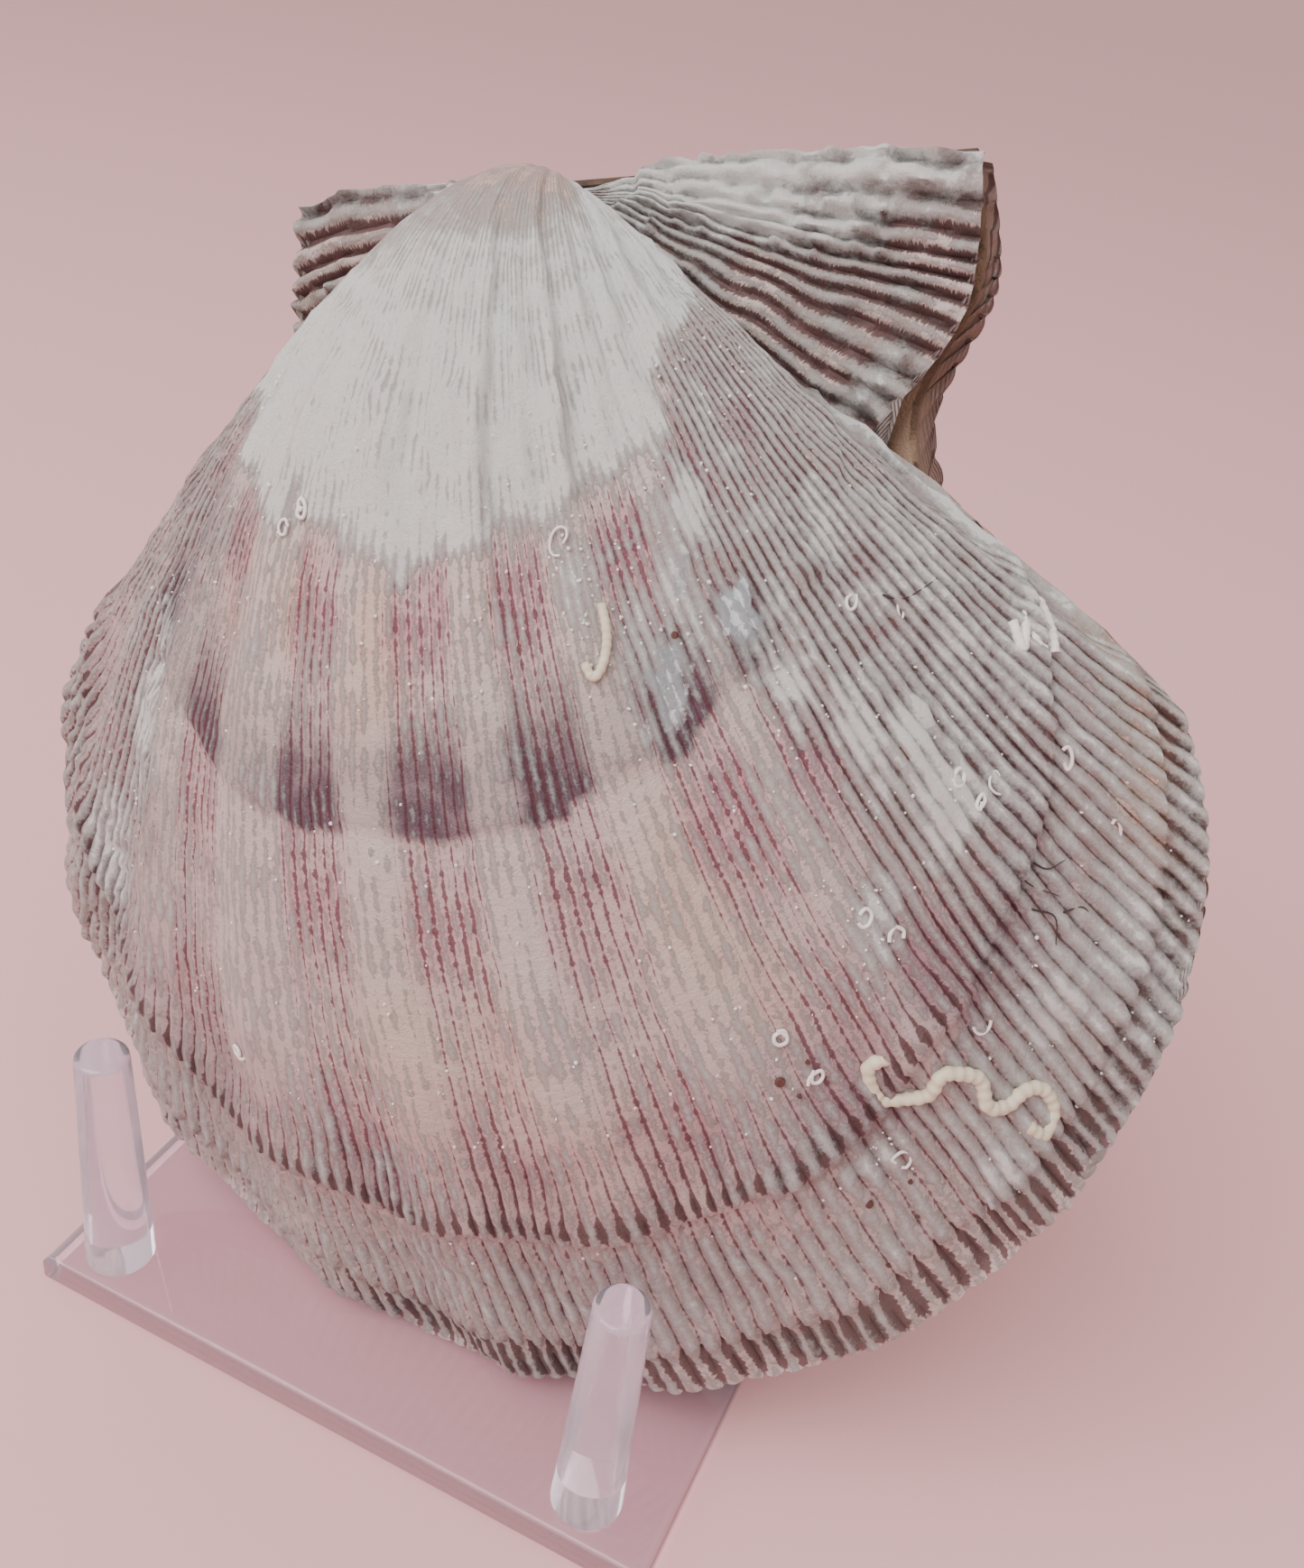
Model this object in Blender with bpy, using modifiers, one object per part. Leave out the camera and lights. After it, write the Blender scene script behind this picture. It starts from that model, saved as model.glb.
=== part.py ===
"""A lion paw scallop shell, both halves closed, standing on a clear plate with pegs.

Metres, +Z up. The origin is the centre of the plate's underside, and the shell's front
faces -Y. The shell is laid out on its own growth: a margin line in the plane between
the halves is scaled down towards the beak while it rolls over, as the real shell grew.
"""

import bmesh
import bpy
from math import cos, log, pi, radians, sin, sqrt
from mathutils import Matrix, Vector
from mathutils.bvhtree import BVHTree

MM = 0.001

# The stand
PLATE_SIZE = (84 * MM, 76 * MM, 4.5 * MM)
PLATE_CORNER = 5.5 * MM
PLATE_EDGE = 1.1 * MM
PEG_SPACING = 66.6 * MM
PEG_ROW_X = -1.2 * MM
PEG_FRONT_INSET = 5.6 * MM
PEG_FOOT_RADIUS = 4.2 * MM
PEG_TOP_RADIUS = 3.1 * MM
PEG_TOP_EDGE = 0.7 * MM
FRONT_PEG_HEIGHT = 34 * MM
BACK_PEG_HEIGHT = 64 * MM
PEG_SIDES = 24
EDGE_SAMPLES = 4

# The gaps that pieces keep
JOINT_GAP = 0.3 * MM
REST_GAP = 0.45 * MM
HALVES_GAP = 0.5 * MM

# The shell's place: how far its plane leans back, how far its hinge line rises to +X,
# and where its beaks are
LEAN = radians(20)
ROLL = radians(15.8)
BEAK_X = -14.2 * MM
BEAK_Y = 21.3 * MM

# The disc of one half, in the plane between the halves: U runs along the hinge line and
# V away from it, both in millimetres from the beak
DISC_CENTRE = (-0.4, 62.0)
DISC_RADIUS = 70.0
REAR_DRAW_IN = 0.03
REAR_FROM = 110.0
SHOULDER_ANGLES = (36.6, 143.0)
SHOULDER_CUT = 3.6
SHOULDER_SPAN = 9.0
DISC_STEP = 2.8
EDGE_STEPS = 4

# The ears: the outlines run from the hinge line to the disc
HINGE_V = -2.6
RIGHT_FRONT_EAR = (
    (45.6, HINGE_V), (45.6, 3.0), (45.3, 7.6), (44.6, 11.3), (42.4, 15.3), (38.5, 19.9), (35.0, 23.2),
)
LEFT_FRONT_EAR = (
    (45.6, HINGE_V), (46.4, 2.7), (46.7, 7.7), (45.5, 11.8), (42.8, 16.5), (40.8, 22.0), (42.5, 30.0),
)
REAR_EAR = ((-28.6, HINGE_V), (-29.8, 5.0), (-29.3, 11.5), (-27.5, 18.5))
EAR_THICKNESS = 2.1
EAR_DEPTH = 0.45
EAR_SWELL = 0.35

# Growth: the roll per unit of log size, the beak's size where the solid ends, and rows
COIL = 0.74
BEAK_SIZE = 0.027
ROWS = 15
ROW_CROWDING = 1.3

# Relief: the grooves between the main ribs lie at these angles from the hinge line
GROOVE_ANGLES = (47.0, 57.0, 65.5, 77.2, 87.6, 100.5, 113.4, 125.6, 137.0)
RIB_HEIGHT = 1.5
RIB_FADE = 7.0
LEDGES = (0.52, 0.82, 0.91)
LEDGE_RISE = 0.8
LEDGE_HALF = 0.06

# The wall of the shell
WALL = 2.7
WALL_GROWN_AT = 0.15
MARGIN_LAND = 2.0

# The band along the hinge line that joins the halves
BAND_HALF_WIDTH = 1.0
BAND_HEIGHT = 0.8
BAND_SPAN = (-27.6, 44.6)
BAND_EDGE = 0.25 * MM

# The worm tube on the right half: its route in growth size and angle
TUBE_RADIUS = 0.9
TUBE_LIFT = 0.45
TUBE_ROUTE = (
    (0.781, 63.2), (0.776, 64.7), (0.800, 65.0), (0.817, 63.5), (0.828, 62.2), (0.825, 61.1),
    (0.836, 60.3), (0.853, 59.7), (0.873, 60.1), (0.887, 59.4), (0.893, 58.3), (0.907, 57.5),
    (0.926, 57.7), (0.933, 58.8), (0.914, 59.2),
)
TUBE_STEPS = 3


def clear_scene():
    for item in list(bpy.data.objects):
        bpy.data.objects.remove(item, do_unlink=True)


def make_collection(name):
    collection = bpy.data.collections.new(name)
    bpy.context.scene.collection.children.link(collection)
    return collection


def make_material(name, colour, roughness, alpha=1.0):
    material = bpy.data.materials.new(name)
    material.use_nodes = True
    shader = material.node_tree.nodes["Principled BSDF"]
    shader.inputs["Base Color"].default_value = (*colour, 1.0)
    shader.inputs["Roughness"].default_value = roughness
    shader.inputs["Metallic"].default_value = 0.0
    shader.inputs["Alpha"].default_value = alpha
    return material


def add_object(name, mesh, collection, material):
    item = bpy.data.objects.new(name, mesh)
    mesh.materials.clear()
    mesh.materials.append(material)
    collection.objects.link(item)
    return item


def mesh_from(bm, name):
    mesh = bpy.data.meshes.new(name)
    bm.to_mesh(mesh)
    bm.free()
    return mesh


# Shell coordinates

HINGE_WAY = Vector((cos(ROLL), sin(ROLL) * sin(LEAN), sin(ROLL) * cos(LEAN)))
MARGIN_WAY = Vector((sin(ROLL), -cos(ROLL) * sin(LEAN), -cos(ROLL) * cos(LEAN)))
FRONT_WAY = Vector((0, -cos(LEAN), sin(LEAN)))


def place(u, v, w, beak_z):
    """Shell coordinates in millimetres to a point of the part; w is towards the front."""
    beak = Vector((BEAK_X, BEAK_Y, beak_z))
    return beak + (HINGE_WAY * u + MARGIN_WAY * v + FRONT_WAY * w) * MM


def disc_point(angle):
    """A point of the disc's margin, at this angle in degrees from the hinge line."""
    turn = radians(angle)
    way = Vector((cos(turn), sin(turn)))
    centre = Vector(DISC_CENTRE)
    along = way.dot(centre)
    reach = along + sqrt(along * along - centre.length_squared + DISC_RADIUS ** 2)
    rear = min(max((angle - REAR_FROM) / (SHOULDER_ANGLES[1] - REAR_FROM), 0), 1)
    reach *= 1 - REAR_DRAW_IN * rear * rear * (3 - 2 * rear)
    near = min(angle - SHOULDER_ANGLES[0], SHOULDER_ANGLES[1] - angle) / SHOULDER_SPAN
    return way * (reach - SHOULDER_CUT * max(1 - near, 0) ** 2)


def rib_wave(angle):
    """The main ribs' height at an angle: -1 in a groove, 1 on a crest."""
    grooves = GROOVE_ANGLES
    if angle <= grooves[0]:
        phase = (angle - grooves[0]) / (grooves[1] - grooves[0])
    elif angle >= grooves[-1]:
        phase = (angle - grooves[-1]) / (grooves[-1] - grooves[-2])
    else:
        after = next(i for i, groove in enumerate(grooves) if groove >= angle)
        phase = (angle - grooves[after - 1]) / (grooves[after] - grooves[after - 1])
    first, last = SHOULDER_ANGLES
    fade = min(1, (angle - first) / RIB_FADE, (last - angle) / RIB_FADE)
    return -cos(2 * pi * phase) * max(fade, 0)


class MarginPoint:
    """One point of the margin, and how the shell grew out to it."""

    def __init__(self, u, v, lift=0.0, ear=0.0, pole=0.0, depth=1.0):
        self.u = u
        self.v = v
        self.lift = lift
        self.ear = ear
        self.pole = pole
        self.depth = depth

    def at(self, size):
        """The outer surface's point at this growth size, from the beak's 0 to 1."""
        turn = COIL * log(1 / size)
        reach = self.v - self.pole
        ledge = sum(max(0, 1 - abs(size - at) / LEDGE_HALF) for at in LEDGES)
        lift = self.lift + LEDGE_RISE * ledge * min(1, abs(self.lift) * 4) * (size < 1)
        v = self.pole + size * (reach * cos(turn) - lift * sin(turn))
        w = size * (reach * self.depth * sin(turn) + lift * cos(turn))
        return Vector((size * self.u, v, w + self.ear * size ** EAR_SWELL))


def ear_points(outline):
    """An ear's margin. Its hinge end grows along the hinge line, its other end with the disc."""
    points = []
    last = len(outline) - 1
    for i, (u, v) in enumerate(outline):
        pole = HINGE_V * (1 - i / last)
        points.append(MarginPoint(u, v, ear=EAR_THICKNESS, pole=pole, depth=EAR_DEPTH))
    return points


def edge_points(start, end):
    """The disc's straight upper edge, from an ear's end to the shoulder."""
    points = []
    for i in range(1, EDGE_STEPS):
        part = i / EDGE_STEPS
        spot = Vector(start) * (1 - part) + end * part
        fade = max(0, 1 - part * 2)
        depth = 1 - (1 - EAR_DEPTH) * fade
        points.append(MarginPoint(*spot, ear=EAR_THICKNESS * fade, depth=depth))
    return points


def margin_points(front_ear, side):
    """The margin of one half; side is 1 for the right half in front and -1 for the left."""
    first, last = SHOULDER_ANGLES
    count = round((last - first) / DISC_STEP)
    disc = []
    for i in range(count + 1):
        angle = first + DISC_STEP * i
        disc.append(MarginPoint(*disc_point(angle), lift=side * RIB_HEIGHT * rib_wave(angle)))
    front_edge = edge_points(front_ear[-1], disc_point(first))
    rear_edge = edge_points(REAR_EAR[-1], disc_point(last))
    rear_edge.reverse()
    rear_ear = ear_points(REAR_EAR)
    rear_ear.reverse()
    return ear_points(front_ear) + front_edge + disc + rear_edge + rear_ear


def growth_sizes():
    parts = [(i / (ROWS - 1)) ** ROW_CROWDING for i in range(ROWS)]
    return [BEAK_SIZE + (1 - BEAK_SIZE) * part for part in parts]


def inward(points, i):
    """The way into the shell across the margin at a point, in the plane of the halves."""
    before = points[max(i - 1, 0)]
    after = points[min(i + 1, len(points) - 1)]
    along = Vector((after.u - before.u, after.v - before.v)).normalized()
    return Vector((-along.y, along.x))


def valve_mesh(name, front_ear, side, beak_z):
    """One half: a grid laid on its growth, given a wall, with the inner side set back."""
    points = margin_points(front_ear, side)
    sizes = growth_sizes()
    columns = len(points)
    bpy.ops.mesh.primitive_grid_add(x_subdivisions=columns - 1, y_subdivisions=ROWS - 1)
    sheet = bpy.context.object
    outer = []
    for size in sizes:
        outer += [point.at(size) for point in points]
    for vertex, spot in zip(sheet.data.vertices, outer):
        vertex.co = spot
    sheet.data.update()
    normals = [vertex.normal.copy() for vertex in sheet.data.vertices]
    if normals[len(normals) // 2].z < 0:
        normals = [-normal for normal in normals]
    wall = sheet.modifiers.new("Wall", "SOLIDIFY")
    wall.thickness = WALL
    bpy.ops.object.modifier_apply(modifier=wall.name)
    mesh = sheet.data
    for i, vertex in enumerate(mesh.vertices):
        row, column = divmod(i % len(outer), columns)
        spot = outer[i % len(outer)].copy()
        if i >= len(outer):
            size = sizes[row]
            if row == ROWS - 1:
                step = inward(points, column) * MARGIN_LAND
                spot = Vector((spot.x + step.x, spot.y + step.y, spot.z - points[column].ear))
            elif column in (0, columns - 1):
                spot.z = 0
            else:
                spot -= normals[i % len(outer)] * WALL * min(1, size / WALL_GROWN_AT)
                spot.z = max(spot.z, 0)
        vertex.co = place(spot.x, spot.y, side * (spot.z + HALVES_GAP / MM / 2), beak_z)
    bpy.data.objects.remove(sheet, do_unlink=True)
    bm = bmesh.new()
    bm.from_mesh(mesh)
    bmesh.ops.triangulate(bm, faces=bm.faces)
    bmesh.ops.recalc_face_normals(bm, faces=bm.faces)
    solid = mesh_from(bm, name)
    bpy.data.meshes.remove(mesh)
    solid.shade_smooth()
    solid.set_sharp_from_angle(angle=radians(50))
    return solid


def band_mesh(name, beak_z):
    """The dark band along the hinge line, lying on the upper edges of both halves."""
    bm = bmesh.new()
    bmesh.ops.create_cube(bm, size=1)
    length = BAND_SPAN[1] - BAND_SPAN[0]
    middle = (BAND_SPAN[0] + BAND_SPAN[1]) / 2
    above = HINGE_V - JOINT_GAP / MM - BAND_HEIGHT / 2
    for vertex in bm.verts:
        u = middle + vertex.co.x * length
        v = above + vertex.co.y * BAND_HEIGHT
        vertex.co = place(u, v, vertex.co.z * BAND_HALF_WIDTH * 2, beak_z)
    bmesh.ops.recalc_face_normals(bm, faces=bm.faces)
    long_edges = [edge for edge in bm.edges if edge.calc_length() > length * MM / 2]
    bmesh.ops.bevel(bm, geom=long_edges, offset=BAND_EDGE, segments=2, affect="EDGES", profile=0.5)
    return mesh_from(bm, name)


def tube_mesh(name, valve, beak_z, collection):
    """The worm tube, laid over the right half's outer side along its winding route."""
    tree = BVHTree.FromPolygons([v.co for v in valve.vertices], [p.vertices for p in valve.polygons])
    route = smooth_route(TUBE_ROUTE, TUBE_STEPS)
    curve = bpy.data.curves.new(name, "CURVE")
    curve.dimensions = "3D"
    curve.bevel_depth = TUBE_RADIUS * MM
    curve.bevel_resolution = 2
    curve.use_fill_caps = True
    spline = curve.splines.new("POLY")
    spline.points.add(len(route) - 1)
    for target, (size, angle) in zip(spline.points, route):
        spot = MarginPoint(*disc_point(angle), lift=RIB_HEIGHT * rib_wave(angle)).at(size)
        near = place(spot.x, spot.y, spot.z, beak_z)
        hit, normal, _, _ = tree.find_nearest(near)
        target.co = (*(hit + normal * (TUBE_RADIUS + TUBE_LIFT) * MM), 1)
    guide = bpy.data.objects.new(name, curve)
    collection.objects.link(guide)
    shape = guide.evaluated_get(bpy.context.evaluated_depsgraph_get())
    mesh = bpy.data.meshes.new_from_object(shape)
    bpy.data.objects.remove(guide, do_unlink=True)
    bm = bmesh.new()
    bm.from_mesh(mesh)
    bmesh.ops.remove_doubles(bm, verts=bm.verts, dist=1e-6)
    bmesh.ops.recalc_face_normals(bm, faces=bm.faces)
    bpy.data.meshes.remove(mesh)
    return mesh_from(bm, name)


def smooth_route(route, steps):
    """More points along a route, on a curve through the given ones."""
    spots = [Vector(spot) for spot in route]
    result = []
    for i in range(len(spots) - 1):
        before = spots[max(i - 1, 0)]
        start, end = spots[i], spots[i + 1]
        after = spots[min(i + 2, len(spots) - 1)]
        for step in range(steps):
            t = step / steps
            curve = (end - before) * t + (before * 2 - start * 5 + end * 4 - after) * t * t
            curve += (start * 3 - before - end * 3 + after) * t ** 3
            result.append(start + curve / 2)
    return result + [spots[-1]]


def plate_mesh(name):
    """The clear plate, with round corners and eased edges."""
    bm = bmesh.new()
    bmesh.ops.create_cube(bm, size=1, matrix=Matrix.Diagonal((*PLATE_SIZE, 1)))
    bmesh.ops.translate(bm, verts=bm.verts, vec=(0, 0, PLATE_SIZE[2] / 2))
    upright = [edge for edge in bm.edges if abs(edge.verts[0].co.z - edge.verts[1].co.z) > MM]
    bmesh.ops.bevel(bm, geom=upright, offset=PLATE_CORNER, segments=6, affect="EDGES", profile=0.5)
    rims = [edge for edge in bm.edges if abs(edge.verts[0].co.z - edge.verts[1].co.z) < 1e-6]
    bmesh.ops.bevel(bm, geom=rims, offset=PLATE_EDGE, segments=2, affect="EDGES", profile=0.5)
    return mesh_from(bm, name)


def peg_mesh(name, height):
    """A clear peg that tapers to a flat top with an eased rim."""
    bm = bmesh.new()
    bmesh.ops.create_cone(bm, cap_ends=True, segments=PEG_SIDES, radius1=PEG_FOOT_RADIUS,
                          radius2=PEG_TOP_RADIUS, depth=height)
    bmesh.ops.translate(bm, verts=bm.verts, vec=(0, 0, height / 2))
    rim = [edge for edge in bm.edges if min(vertex.co.z for vertex in edge.verts) > height - 1e-6]
    bmesh.ops.bevel(bm, geom=rim, offset=PEG_TOP_EDGE, segments=2, affect="EDGES", profile=0.5)
    mesh = mesh_from(bm, name)
    mesh.shade_smooth()
    mesh.set_sharp_from_angle(angle=radians(40))
    return mesh


def back_peg_y(meshes, x):
    """How far back a tall peg at x stands so that the shell's back just clears it."""
    foot = PLATE_SIZE[2] + JOINT_GAP
    taper = (PEG_TOP_RADIUS - PEG_FOOT_RADIUS) / BACK_PEG_HEIGHT
    reach = -PLATE_SIZE[1] / 2
    for mesh in meshes:
        for edge in mesh.edges:
            start, end = (mesh.vertices[i].co for i in edge.vertices)
            for step in range(EDGE_SAMPLES + 1):
                spot = start.lerp(end, step / EDGE_SAMPLES)
                rise = spot.z - foot
                radius = PEG_FOOT_RADIUS + taper * max(rise, 0) + REST_GAP
                if rise < BACK_PEG_HEIGHT + REST_GAP and abs(spot.x - x) < radius:
                    reach = max(reach, spot.y + sqrt(radius ** 2 - (spot.x - x) ** 2))
    return reach


def build():
    clear_scene()
    collection = make_collection("lion_paw_scallop_shell")
    shell = make_material("scallop_shell", (0.72, 0.62, 0.56), 0.75)
    ligament = make_material("hinge_ligament", (0.16, 0.11, 0.08), 0.7)
    lime = make_material("worm_tube_lime", (0.74, 0.66, 0.48), 0.7)
    clear = make_material("clear_acrylic", (0.95, 0.90, 0.92), 0.06, alpha=0.35)

    valves = (("right_valve", RIGHT_FRONT_EAR, 1), ("left_valve", LEFT_FRONT_EAR, -1))
    trial = [valve_mesh(name, ear, side, 0.0) for name, ear, side in valves]
    lowest = min(vertex.co.z for mesh in trial for vertex in mesh.vertices)
    beak_z = PLATE_SIZE[2] + JOINT_GAP - lowest
    for mesh in trial:
        bpy.data.meshes.remove(mesh)
    meshes = [valve_mesh(name, ear, side, beak_z) for name, ear, side in valves]
    for (name, _, _), mesh in zip(valves, meshes):
        add_object(name, mesh, collection, shell)
    add_object("hinge_ligament", band_mesh("hinge_ligament", beak_z), collection, ligament)
    tube = tube_mesh("worm_tube", meshes[0], beak_z, collection)
    add_object("worm_tube", tube, collection, lime)

    add_object("base_plate", plate_mesh("base_plate"), collection, clear)
    foot = PLATE_SIZE[2] + JOINT_GAP
    columns = {"left": PEG_ROW_X - PEG_SPACING / 2, "right": PEG_ROW_X + PEG_SPACING / 2}
    rows = {
        "front": (-PLATE_SIZE[1] / 2 + PEG_FRONT_INSET, FRONT_PEG_HEIGHT),
        "back": (max(back_peg_y(meshes, x) for x in columns.values()), BACK_PEG_HEIGHT),
    }
    for row, (y, height) in rows.items():
        for column, x in columns.items():
            name = f"{row}_peg_{column}"
            peg = add_object(name, peg_mesh(name, height), collection, clear)
            peg.location = (x, y, foot)


build()
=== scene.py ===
"""Finishes for a lion paw scallop shell on a clear stand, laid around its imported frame.

Metres, +Z up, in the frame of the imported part. Places on the shell are given as a growth
size, from 0 at the beak to 1 at the margin, and an angle in degrees from the hinge line,
because its bands follow one size and its ribs one angle.
"""

from functools import reduce
from math import cos, pi, radians, sin

import bmesh
import bpy
import numpy as np
from bpy.props import FloatProperty, FloatVectorProperty, IntProperty, PointerProperty
from mathutils import Matrix, Vector


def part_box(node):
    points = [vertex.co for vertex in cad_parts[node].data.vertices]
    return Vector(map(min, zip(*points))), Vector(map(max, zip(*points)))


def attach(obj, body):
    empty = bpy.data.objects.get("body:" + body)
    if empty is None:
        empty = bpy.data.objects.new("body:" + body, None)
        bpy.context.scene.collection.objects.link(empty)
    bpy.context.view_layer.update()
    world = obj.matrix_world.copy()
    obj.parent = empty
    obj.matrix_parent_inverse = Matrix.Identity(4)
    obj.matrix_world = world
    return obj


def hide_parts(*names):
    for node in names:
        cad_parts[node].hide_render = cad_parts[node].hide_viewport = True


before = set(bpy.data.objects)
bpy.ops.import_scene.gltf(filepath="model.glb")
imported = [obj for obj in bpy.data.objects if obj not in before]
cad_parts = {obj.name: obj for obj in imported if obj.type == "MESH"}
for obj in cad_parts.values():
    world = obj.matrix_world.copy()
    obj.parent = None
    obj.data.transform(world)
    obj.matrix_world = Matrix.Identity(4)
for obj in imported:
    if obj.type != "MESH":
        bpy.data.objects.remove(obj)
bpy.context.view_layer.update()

bl_info = {
    "name": "Lion paw scallop shell",
    "version": (1, 0, 0),
    "blender": (4, 5, 0),
    "location": "3D View > Sidebar > Scallop",
    "description": "Dresses a scallop shell on its clear stand",
    "category": "Object",
}

MM = 0.001

# The shell's place, as the frame has it: its lean back and its hinge line's rise to +X
LEAN = radians(20)
ROLL = radians(15.8)
HINGE_WAY = Vector((cos(ROLL), sin(ROLL) * sin(LEAN), sin(ROLL) * cos(LEAN)))
MARGIN_WAY = Vector((sin(ROLL), -cos(ROLL) * sin(LEAN), -cos(ROLL) * cos(LEAN)))
FRONT_WAY = Vector((0, -cos(LEAN), sin(LEAN)))
HALVES_GAP = 0.5

# The disc of a half in the plane between the halves, in millimetres from the beak
DISC_CENTRE = (-0.4, 62.0)
DISC_RADIUS = 70.0
REAR_DRAW_IN = 0.03
REAR_FROM = 110.0
SHOULDER_ANGLES = (36.6, 143.0)
SHOULDER_CUT = 3.6
SHOULDER_SPAN = 9.0

# The ears' outlines, from the hinge line to the disc
HINGE_V = -2.6
RIGHT_FRONT_EAR = (
    (45.6, HINGE_V), (45.6, 3.0), (45.3, 7.6), (44.6, 11.3), (42.4, 15.3), (38.5, 19.9), (35.0, 23.2),
)
LEFT_FRONT_EAR = (
    (45.6, HINGE_V), (46.4, 2.7), (46.7, 7.7), (45.5, 11.8), (42.8, 16.5), (40.8, 22.0), (42.5, 30.0),
)
REAR_EAR = ((-28.6, HINGE_V), (-29.8, 5.0), (-29.3, 11.5), (-27.5, 18.5))
EAR_ANGLES = (36.0, 144.0)
EAR_THICKNESS = 2.1
EAR_DEPTH = 0.45
EAR_SWELL = 0.35

# Growth: the spiral, the grooves' margin angles, how they drift, and widths in millimetres
COIL = 0.74
BEAK_SIZE = 0.02
GROOVE_ANGLES = (47.0, 57.0, 65.5, 77.2, 87.6, 98.6, 112.9, 125.6, 137.0)
GROOVE_DRIFT = (0.0, 0.0, 1.8, 0.0, 0.3, 4.0, 4.8, 4.0, 2.0)
DRIFT_FADE = 8
DRIFT_NONE_AT = 0.65
DRIFT_FROM = 0.3
DRIFT_SPAN = 0.5
GROOVE_HALF_WIDTH = 3.3
RIB_FADE = 7.0
RAYS_END = 131
WALL = 2.7
WALL_GROWN_AT = 0.15
MARGIN_LAND = 2.0
TOP_EDGE_RISE = 1.5

# Columns to a riblet in the outer sheet; the lining takes one in so many columns and rows
COLUMNS_PER_RIBLET = 7
LINING_COLUMNS = 6
LINING_ROWS = 4

# Growth sizes of what runs round the shell: the right half's lines by angle, the left's steps
CHECK_LINE = (
    (36, 0.515), (57, 0.515), (74, 0.520), (94, 0.524), (101, 0.533), (112, 0.543), (126, 0.55),
    (143, 0.56),
)
DASH_LINE = (
    (36, 0.78), (57, 0.79), (70, 0.808), (88, 0.81), (101, 0.822), (111, 0.846), (123, 0.851),
    (143, 0.86),
)
LEFT_HALF_STEPS = (0.30, 0.42, 0.53, 0.64, 0.74, 0.83, 0.90, 0.95)

# The band along the hinge line
BAND_SPAN = (-27.6, 44.6)
BAND_HALF_WIDTH = 1.0
BAND_HEIGHT = 0.8
JOINT_GAP = 0.3

# Worm tubes on the right half: routes as growth sizes and angles, and the small ones' radii
LARGE_TUBE_RADIUS = 0.72
LARGE_TUBE = (
    (0.781, 63.2), (0.776, 64.7), (0.800, 65.0), (0.817, 63.5), (0.828, 62.2), (0.825, 61.1),
    (0.836, 60.3), (0.853, 59.7), (0.873, 60.1), (0.887, 59.4), (0.893, 58.3), (0.907, 57.5),
    (0.926, 57.7), (0.933, 58.8), (0.914, 59.2),
)
SMALL_TUBES = {
    "worm_tube_hooked": (0.42, (
        (0.420, 69.8), (0.439, 70.1), (0.453, 71.0), (0.457, 72.0), (0.447, 72.4))),
    "worm_tube_coiled": (0.5, (
        (0.742, 39.6), (0.752, 40.6), (0.760, 39.4), (0.768, 38.2), (0.774, 39.4), (0.782, 39.6),
        (0.788, 38.0), (0.796, 36.9), (0.803, 37.9), (0.800, 39.2))),
}

# Smaller things on the right half: hairs by their routes, pits with their radii, squiggles
# by where each starts and how far a step takes it, and the number of crumbs
HAIRS = (
    ((0.579, 46.0), (0.605, 44.6), (0.642, 41.5)), ((0.776, 50.6), (0.80, 50.9), (0.835, 50.0)),
    ((0.800, 49.9), (0.815, 49.5), (0.829, 48.4)), ((0.815, 51.6), (0.839, 50.9), (0.852, 51.9)),
    ((0.845, 50.4), (0.863, 49.4), (0.885, 49.6)),
)
PITS = (
    (0.743, 69.4, 0.55), (0.868, 68.3, 0.5), (0.925, 69.0, 0.45), (0.651, 52.4, 0.9),
    (0.742, 67.6, 0.25), (0.760, 68.8, 0.25), (0.875, 66.0, 0.3), (0.905, 66.6, 0.25),
    (0.46, 64.2, 0.35), (0.468, 65.0, 0.3),
)
SQUIGGLES = (
    (0.757, 107.6), (0.733, 50.0), (0.721, 59.8), (0.70, 50.5), (0.74, 48.0), (0.69, 60.5),
    (0.83, 57.5), (0.75, 67.5), (0.71, 68.4), (0.60, 45.0), (0.81, 44.0), (0.86, 66.0),
    (0.80, 66.8), (0.38, 72.0), (0.365, 106.0), (0.88, 45.0), (0.55, 48.5), (0.35, 104.5),
)
SQUIGGLE_STEP = (0.0042, 0.30)
CRUMBS = 1100
CRUMBS_ON_CHALK = 0.45
GROWTHS_SEED = 21

# The stand, as the frame has it
PEG_EDGE = 0.7 * MM
PEG_FOOT_RADIUS = 4.2 * MM
PEG_TOP_RADIUS = 3.1 * MM
PLATE_CORNER = 5.5 * MM
PLATE_EDGE = 1.1 * MM

# Refractive indices of shell lime and of acrylic
LIME_IOR = 1.52
ACRYLIC_IOR = 1.49

# The large soft light, and the way that it shines
LIGHT_PLACE = (-0.25, -0.5, 0.8)
LIGHT_WAY = Vector((0.25, 0.5, -0.73))
LIGHT_SIZE = 0.8

# The photograph's view
CAMERA_PLACE = Vector((0.0596, -0.1244, 0.1645))
CAMERA_FORWARD = Vector((-0.2842, 0.7870, -0.5475))
CAMERA_UP = Vector((-0.331, 0.4554, 0.8265))
CAMERA_LENS = 33.78
SENSOR_WIDTH = 36


def linear(code):
    """An sRGB hex colour as linear red, green, blue and alpha."""
    parts = [int(code[i:i + 2], 16) / 255 for i in (1, 3, 5)]
    return (*(p / 12.92 if p <= 0.04045 else ((p + 0.055) / 1.055) ** 2.4 for p in parts), 1.0)


def colour_property(name, description, code):
    return FloatVectorProperty(name=name, description=description, default=linear(code)[:3],
                               subtype="COLOR", min=0, max=1)


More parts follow.
